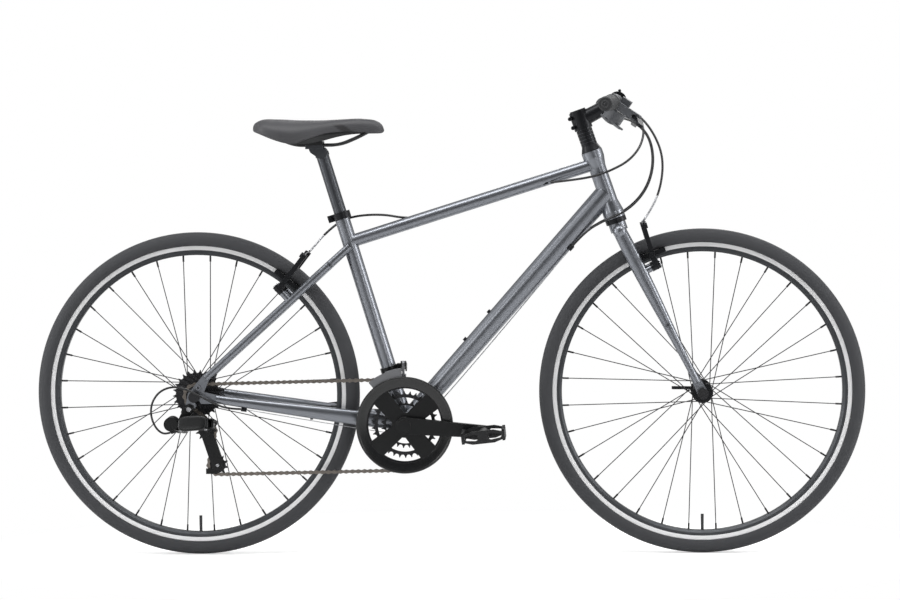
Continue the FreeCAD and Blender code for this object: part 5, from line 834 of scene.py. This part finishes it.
@dataclass
class Spokes:
    """Round spokes with their nipples: 32 straight rods from the flanges' holes to the rim, three crosses."""

    node: str
    body: str
    axle_x: float
    flanges: Pair
    hole: float
    count: int = 32
    crosses: int = 3
    radius: float = 0.001
    reach: float = 0.2972
    nipple: float = 0.002
    nipple_length: float = 0.013
    outer_stand: float = 0.004
    inner_stand: float = 0.0028
    sides: int = 10

    def point(self, radius: float, angle: float, across: float) -> Array:
        """Place at a radius and an angle round the axle, and a distance across the bike."""
        return np.array([self.axle_x + radius * math.cos(angle), across, AXLE_Z + radius * math.sin(angle)])

    def build(self) -> Piece:
        """Make every spoke in one piece, in the place of the solid spokes."""
        step = TURN / self.count
        rods = []
        for index in range(self.count):
            side = -1.0 if index % 2 == 0 else 1.0
            trailing = (index // 2) % 2 == 0
            rim_angle = (index + 0.5) * step
            hub_angle = rim_angle + self.crosses * 2 * step * (1.0 if trailing else -1.0)
            stand = self.outer_stand if trailing else -self.inner_stand
            flange = self.flanges[index % 2]
            start = self.point(self.hole, hub_angle, side * (flange + stand))
            far = self.point(self.hole, hub_angle, side * (flange - stand))
            end = self.point(self.reach, rim_angle, 0.0)
            nipple_end = end - unit(end - start) * self.nipple_length
            ends = (start, end, self.radius), (start, far, self.radius), (nipple_end, end, self.nipple)
            rods += [rings(np.stack([low, high]), radius, self.sides) for low, high, radius in ends]
        points, faces = [], []
        for rod in rods:
            first = len(points)
            points += rod.reshape(-1, 3).tolist()
            faces += (grid_faces(2, self.sides) + first).tolist()
            faces += [list(range(first, first + self.sides))[::-1],
                      list(range(first + self.sides, first + 2 * self.sides))]
        piece = solid(self.node + "_round", points, faces, SPOKE_STEEL)
        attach(piece, self.body)
        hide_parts(self.node)
        return piece


def joint(name: str) -> Dict[str, Any]:
    """The frame's joint of a name."""
    return next(row for row in frame["joints"] if row["name"] == name)


def place(name: str) -> Array:
    """Where a joint stands, in metres."""
    return np.array(joint(name)["pos_m"], float)


@dataclass
class Chain:
    """Chain of waisted links: rollers a pitch apart along the loop, two plates between each pair.

    The loop is arcs round four pitch circles and the straight tangents between them. A plate's half height is
    the end radius at its pins and eases to the waist between them by a cosine.
    """

    pitch: float = 0.0127
    plane: float = -0.050
    end: float = 0.0041
    waist: float = 0.0024
    plate: float = 0.00095
    gap: float = 0.0025
    play: float = 0.0001
    proud: float = 0.0002
    pin: float = 0.00175
    roller: float = 0.00385
    links: int = 110
    samples: int = 400
    end_points: int = 8
    waist_points: int = 6
    pin_sides: int = 10
    roller_sides: int = 14
    wheels: Tuple[Tuple[str, int, int], ...] = (("crank_spin", 48, 1), ("cassette_spin", 12, 1),
                                                ("guide_pulley_spin", 10, -1), ("tension_pulley_spin", 10, 1))

    def tangent(self, first: Any, second: Any) -> Tuple[Array, Array]:
        """Ends of the straight run from one wheel to the next.

        Args:
            first: centre, pitch radius and sense of the wheel that is left.
            second: the same of the wheel that is reached.

        Returns:
            The two ends.
        """
        run = second[0] - first[0]
        share = (first[2] * first[1] - second[2] * second[1]) / np.linalg.norm(run)
        ahead = unit(run)
        normal = ahead * share - np.array([-ahead[1], ahead[0]]) * math.sqrt(1 - share ** 2)
        return first[0] + normal * first[2] * first[1], second[0] + normal * second[2] * second[1]

    def loop(self) -> Array:
        """Close points along the rollers' path in the side view."""
        wheels = [(place(name)[[0, 2]], self.pitch / (2 * math.sin(math.pi / teeth)), sense)
                  for name, teeth, sense in self.wheels]
        runs = [self.tangent(wheels[i], wheels[(i + 1) % len(wheels)]) for i in range(len(wheels))]
        share = np.linspace(0.0, 1.0, self.samples, endpoint=False)
        course = []
        for i, (centre, radius, sense) in enumerate(wheels):
            enter = runs[i - 1][1] - centre
            leave = runs[i][0] - centre
            start = math.atan2(enter[1], enter[0])
            turn = (sense * (math.atan2(leave[1], leave[0]) - start)) % TURN
            angle = start + sense * turn * share
            course.append(centre + radius * np.stack([np.cos(angle), np.sin(angle)], axis=-1))
            course.append(runs[i][0] + share[:, None] * (runs[i][1] - runs[i][0]))
        return np.concatenate(course)

    def pins(self) -> Array:
        """Pin centres one pitch apart along the loop."""
        course = self.loop()
        found = [course[0]]
        for low, high in zip(course, np.roll(course, -1, axis=0)):
            near = np.linalg.norm(low - found[-1])
            far = np.linalg.norm(high - found[-1])
            if near < self.pitch <= far:
                found.append(low + (high - low) * (self.pitch - near) / (far - near))
        return np.array(found[:self.links])

    def outline(self, start: Array, end: Array) -> Array:
        """Outline of one plate in the side view.

        Args:
            start: pin at one end.
            end: pin at the other.

        Returns:
            Points round the plate.
        """
        along = unit(end - start)
        up = np.array([-along[1], along[0]])
        cap = np.linspace(-math.pi / 2, math.pi / 2, self.end_points)
        share = np.linspace(0.0, 1.0, self.waist_points)[1:-1]
        height = self.waist + (self.end - self.waist) * (0.5 + 0.5 * np.cos(TURN * share))
        reach = np.linalg.norm(end - start)
        run = np.concatenate([reach + self.end * np.cos(cap), reach * (1 - share), -self.end * np.cos(cap),
                              reach * share])
        rise = np.concatenate([self.end * np.sin(cap), height, -self.end * np.sin(cap), -height])
        return start + run[:, None] * along + rise[:, None] * up

    def disc(self, centre: Array, radius: float, sides: int) -> Array:
        """Outline of a pin or a roller in the side view."""
        return centre + radius * circle(sides, np.array([1.0, 0.0]), np.array([0.0, 1.0]))

    def build(self) -> Piece:
        """Make every link, roller and pin in one piece, in the place of the solid chain."""
        pins = self.pins()
        inner = self.gap / 2
        outer = inner + self.plate + self.play
        reach = outer + self.plate + self.proud
        prisms = []
        for i, start in enumerate(pins):
            face = outer if i % 2 else inner
            shape = self.outline(start, pins[(i + 1) % len(pins)])
            prisms += [(shape, face, face + self.plate), (shape, -face - self.plate, -face),
                       (self.disc(start, self.pin, self.pin_sides), -reach, reach),
                       (self.disc(start, self.roller, self.roller_sides), -inner, inner)]
        points, faces = [], []
        for shape, low, high in prisms:
            first, count = len(points), len(shape)
            points += [(x, self.plane + across, z) for across in (low, high) for x, z in shape]
            faces += [list(range(first, first + count)), list(range(first + 2 * count - 1, first + count - 1, -1))]
            faces += (grid_faces(2, count) + first).tolist()
        piece = solid("chain_links", points, faces, CHAIN_STEEL)
        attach(piece, "frame")
        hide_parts("chain")
        return piece


@dataclass
class Guard:
    """Moulded guard: a shallow dish inside a rounded lip, its outline in mm turned round the crank's axis."""

    outline: Tuple[Pair, ...] = (
        (80.7, 57.0), (80.7, 57.6), (81.6, 58.0), (96.0, 59.3), (98.2, 59.6), (99.0, 60.3), (100.0, 60.8),
        (101.3, 60.9), (102.4, 60.4), (103.0, 59.6), (103.0, 57.2), (102.6, 56.2), (100.2, 56.1), (99.6, 57.0))
    sides: int = 240

    def build(self) -> Piece:
        """Turn the outline and put it in the place of the flat ring."""
        points = turned(place("crank_spin"), np.array([0.0, -1.0, 0.0]), np.array(self.outline) * MM, self.sides)
        piece = surface("guard_dish", points, GUARD_PLASTIC, close_rows=True)
        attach(piece, "crank")
        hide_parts("chain_guard")
        return piece


@dataclass(frozen=True)
class Bolt:
    """Bolt head on a joint's own axis: a low dome with a socket sunk in its middle.

    The outline is shares of the head's radius and of its rise.
    """

    joint: str
    body: str
    stand: float
    radius: float
    rise: float = 0.0018
    outline: Tuple[Pair, ...] = ((1.0, 0.0), (1.0, 0.55), (0.88, 1.0), (0.5, 1.0), (0.48, 0.3),
                                                (0.05, 0.3))
    sides: int = 24

    def build(self) -> Piece:
        """Turn the head's outline round the joint's axis and set it on its seat."""
        axis = np.array(joint(self.joint)["axis"], float) * math.copysign(1.0, self.stand)
        seat = place(self.joint) + axis * abs(self.stand)
        points = turned(seat, axis, np.array(self.outline) * (self.radius, self.rise), self.sides)
        piece = surface(self.joint + "_bolt", points, BRIGHT_STEEL)
        piece.data.shade_flat()
        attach(piece, self.body)
        return piece


BOLTS = (
    Bolt("front_brake_right_swing", "front_brake_right", -0.0102, 0.0055),
    Bolt("front_brake_left_swing", "front_brake_left", 0.0102, 0.0055),
    Bolt("rear_brake_right_swing", "rear_brake_right", 0.0102, 0.0055),
    Bolt("rear_brake_left_swing", "rear_brake_left", -0.0102, 0.0055),
    Bolt("tension_pulley_spin", "rear_mech_cage", -0.0076, 0.0036),
    Bolt("rear_mech_knuckle_turn", "rear_mech_knuckle", -0.0032, 0.0052),
    Bolt("rear_mech_link_swing", "rear_mech_knuckle", -0.0114, 0.0028),
    Bolt("rear_mech_cage_knuckle_swing", "rear_mech_cage_knuckle", -0.0114, 0.0028),
)


@dataclass
class MechShield:
    """Pressed shield on the rear mech's outer link: a superellipsoid, each cosine and sine drawn to a power."""

    half_length: float = 0.031
    half_height: float = 0.0165
    half_depth: float = 0.0042
    stand: float = 0.0108
    power: float = 0.55
    rows: int = 33
    columns: int = 64
    pole_gap: float = 1e-5

    def build(self) -> Piece:
        """Lay the shield along the link, outside its pins."""
        start = place("rear_mech_link_swing")
        end = place("rear_mech_cage_knuckle_swing")
        along = unit(end - start)
        up = unit(np.array(joint("rear_mech_link_swing")["axis"], float))
        out = np.cross(along, up)
        quarter = math.pi / 2
        u = (quarter - self.pole_gap) * np.sin(np.linspace(-quarter, quarter, self.rows))[:, None]
        v = np.linspace(0.0, TURN, self.columns, endpoint=False)[None, :]
        cos_u, sin_u, cos_v, sin_v = (np.sign(w) * np.abs(w) ** self.power
                                      for w in (np.cos(u), np.sin(u), np.cos(v), np.sin(v)))
        lengthwise = self.half_length * cos_u * cos_v
        upward = self.half_height * cos_u * sin_v
        outward_by = np.broadcast_to(self.stand + self.half_depth * sin_u, upward.shape)
        points = ((start + end) / 2 + lengthwise[..., None] * along + upward[..., None] * up
                  + outward_by[..., None] * out)
        piece = surface("rear_mech_shield", points, BLACK_ENAMEL)
        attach(piece, "rear_mech_outer_link")
        return piece


@dataclass
class Dressing:
    """Finishes of the solids."""

    def choices(self) -> Dict[str, Finish]:
        """Finish of each node."""
        groups = {
            PAINT: ("head_tube", "top_tube", "down_tube", "seat_tube", "chain_stays", "seat_stays", "fork"),
            POST_ALLOY: ("seatpost",),
            BLACK_ALLOY: ("stem", "handlebar", "front_brake_right", "front_brake_left", "rear_brake_right",
                          "rear_brake_left", "right_brake_lever", "left_brake_lever", "front_hub", "rear_hub",
                          "front_release_lever", "rear_release_lever", "frame_fittings"),
            BLACK_ENAMEL: ("crank_arms", "front_mech_body", "rear_mech_knuckle", "rear_mech_outer_link",
                           "rear_mech_inner_link", "rear_mech_cage_knuckle", "rear_mech_cage"),
            BLACK_STEEL: ("chainrings", "sprockets", "front_axle", "rear_axle", "spindles"),
            CAGE_STEEL: ("front_mech_cage", "front_mech_link"),
            CHAIN_STEEL: ("chain",),
            SPOKE_STEEL: ("front_spokes", "rear_spokes"),
            NYLON: ("chain_guard", "right_pedal", "left_pedal", "saddle_frame", "guide_pulley", "tension_pulley"),
            POD_NYLON: ("control_pods", "right_trigger", "left_trigger", "right_thumb_lever", "left_thumb_lever"),
            GRIP_RUBBER: ("grips", "front_inner_tube", "rear_inner_tube"),
            TYRE_RUBBER: ("front_tyre", "rear_tyre"),
            HOUSING: ("steering_cables", "rear_cables", "front_brake_cable"),
            SADDLE_VINYL: ("saddle_cover",),
            FRONT_RIM: ("front_rim",),
            REAR_RIM: ("rear_rim",),
        }
        return {node: finish for finish, nodes in groups.items() for node in nodes}

    def apply(self) -> None:
        """Give every solid its finish."""
        for node, finish in self.choices().items():
            thing = frame["nodes"][node]
            material = finish.build()
            if not thing.material_slots:
                thing.data.materials.append(material)
            for holder in thing.material_slots:
                holder.material = material


@dataclass
class Studio:
    """Camera at the photograph's angle, soft lights and a pale floor."""

    target: Point = (0.003142, 0.0, 0.543324)
    azimuth: float = 2.499
    elevation: float = 3.805
    distance: float = 6.0
    roll: float = -0.541
    focal_pixels: float = 2815.6
    image_width: int = 900
    sensor: float = 36.0
    lamp_aim: Point = (0.0, 0.0, 0.5)
    diffuse_level: float = 0.36
    tent_front: Pair = (-0.92, -0.3)
    tent_front_levels: Pair = (0.05, 1.0)
    tent_behind: Pair = (0.2, 0.7)
    tent_behind_levels: Pair = (1.0, 0.3)
    floor_half: float = 60.0
    floor_squash: Point = (0.6, 1.0, 1.0)
    floor_fade: Pair = (0.38, 0.65)
    floor_glow: float = 0.45

    def camera(self) -> None:
        """Place the camera from its angles, distance and roll."""
        a, e, r = (math.radians(v) for v in (self.azimuth, self.elevation, self.roll))
        back = Vector((math.sin(a) * math.cos(e), -math.cos(a) * math.cos(e), math.sin(e)))
        right = Vector((math.cos(a), math.sin(a), 0.0))
        up = back.cross(right)
        right, up = right * math.cos(r) + up * math.sin(r), up * math.cos(r) - right * math.sin(r)
        data = bpy.data.cameras.new("camera")
        data.sensor_width = self.sensor
        data.lens = self.focal_pixels / self.image_width * self.sensor
        holder = placed("camera", data)
        turn = Matrix((right, up, back)).transposed().to_4x4()
        holder.matrix_world = Matrix.Translation(Vector(self.target) + back * self.distance) @ turn
        bpy.context.scene.camera = holder

    def lamp(self, name: str, where: Point, size: Pair, power: float) -> None:
        """Add one soft box aimed at the bicycle.

        Args:
            name: name of the lamp.
            where: where it hangs.
            size: width and height.
            power: power in watts.
        """
        data = bpy.data.lights.new(name, "AREA")
        data.shape = "RECTANGLE"
        data.size, data.size_y = size
        data.energy = power
        holder = placed(name, data)
        holder.location = where
        aim = Vector(self.lamp_aim) - Vector(where)
        holder.rotation_euler = aim.to_track_quat("-Z", "Y").to_euler()

    def world(self) -> None:
        """White tent: bright at the sides and above in reflections, dark at its open front.

        The light it gives is softer than its reflection, and the background is plain white.
        """
        world = bpy.data.worlds.new("studio")
        bpy.context.scene.world = world
        tree = cleared(world)
        path = add(tree, "ShaderNodeLightPath")
        seen = maths(tree, "MAXIMUM", path.outputs["Is Camera Ray"], path.outputs["Is Transmission Ray"])
        way = add(tree, "ShaderNodeTexCoord").outputs["Generated"]
        depth = add(tree, "ShaderNodeSeparateXYZ", {"Vector": way}).outputs["Y"]
        front = ramp(tree, depth, self.tent_front, self.tent_front_levels)
        behind = ramp(tree, depth, self.tent_behind, self.tent_behind_levels, "LINEAR")
        tent = maths(tree, "MULTIPLY", front, behind)
        glossy = path.outputs["Is Glossy Ray"]
        shine = add(tree, "ShaderNodeMix", {0: glossy, 2: self.diffuse_level, 3: tent}).outputs[0]
        level = add(tree, "ShaderNodeMix", {0: seen, 2: shine, 3: 1.0}).outputs[0]
        light = add(tree, "ShaderNodeBackground", {"Color": WHITE, "Strength": level})
        add(tree, "ShaderNodeOutputWorld", {"Surface": light.outputs["Background"]})

    def floor(self) -> None:
        """Pale floor that keeps the shadow near the wheels and is plain white to the camera farther off."""
        mesh = bpy.data.meshes.new("floor")
        half = self.floor_half
        mesh.from_pydata([(-half, -half, 0.0), (half, -half, 0.0), (half, half, 0.0), (-half, half, 0.0)], [],
                         [(0, 1, 2, 3)])
        material = bpy.data.materials.new("pale_floor")
        tree = cleared(material)
        seen = add(tree, "ShaderNodeLightPath").outputs["Is Camera Ray"]
        coords = add(tree, "ShaderNodeTexCoord").outputs["Object"]
        squashed = add(tree, "ShaderNodeVectorMath", {0: coords, 1: self.floor_squash}, operation="MULTIPLY")
        away = add(tree, "ShaderNodeVectorMath", {0: squashed.outputs["Vector"]}, operation="LENGTH")
        fade = ramp(tree, away.outputs["Value"], self.floor_fade)
        far = maths(tree, "MULTIPLY", seen, fade)
        glow = maths(tree, "MULTIPLY", seen, self.floor_glow)
        ground = add(tree, "ShaderNodeBsdfPrincipled",
                     {"Base Color": linear("#f6f6f6"), "Roughness": 0.9, "Emission Color": WHITE,
                      "Emission Strength": glow})
        white = add(tree, "ShaderNodeEmission", {"Color": WHITE, "Strength": 1.0})
        parts = {0: far, 1: ground.outputs["BSDF"], 2: white.outputs["Emission"]}
        blend = add(tree, "ShaderNodeMixShader", parts)
        add(tree, "ShaderNodeOutputMaterial", {"Surface": blend.outputs["Shader"]})
        mesh.materials.append(material)
        holder = placed("floor", mesh)

    def build(self) -> None:
        """Set up the whole studio."""
        bpy.context.scene.view_settings.view_transform = "Standard"
        self.camera()
        self.world()
        self.floor()
        self.lamp("top_box", (0.0, -0.7, 3.2), (4.2, 0.9), 70.0)
        self.lamp("rear_strip", (-3.4, -0.7, 1.1), (0.6, 2.4), 42.0)
        self.lamp("fore_strip", (3.4, -0.7, 1.1), (0.6, 2.4), 42.0)
        self.lamp("front_box", (-2.6, -3.4, 1.6), (0.9, 1.8), 22.0)
        self.lamp("low_box", (2.4, -3.6, 0.9), (0.6, 1.4), 12.0)
        self.lamp("back_box", (1.0, 3.0, 2.6), (3.0, 0.9), 44.0)


def main() -> None:
    """Build the studio, the pieces and their finishes, and log how many points each piece has."""
    logging.basicConfig(level=logging.INFO, format="%(message)s")
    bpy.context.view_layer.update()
    Studio().build()
    Dressing().apply()
    makers = [
        *Cables().runs(),
        Tyre("front_tyre", "front_wheel", FRONT_AXLE_X),
        Tyre("rear_tyre", "rear_wheel", REAR_AXLE_X),
        Spokes("front_spokes", "front_wheel", FRONT_AXLE_X, (0.034, 0.034), 0.019),
        Spokes("rear_spokes", "rear_wheel", REAR_AXLE_X, (0.0125, 0.033), 0.022),
        Saddle(),
        Grip("right", -1.0),
        Grip("left", 1.0),
        Chain(),
        Guard(),
        MechShield(),
        *BOLTS,
    ]
    for maker in makers:
        piece = maker.build()
        LOG.info("made %s with %d points", piece.name, len(piece.data.vertices))


if __name__ == "__main__":
    main()
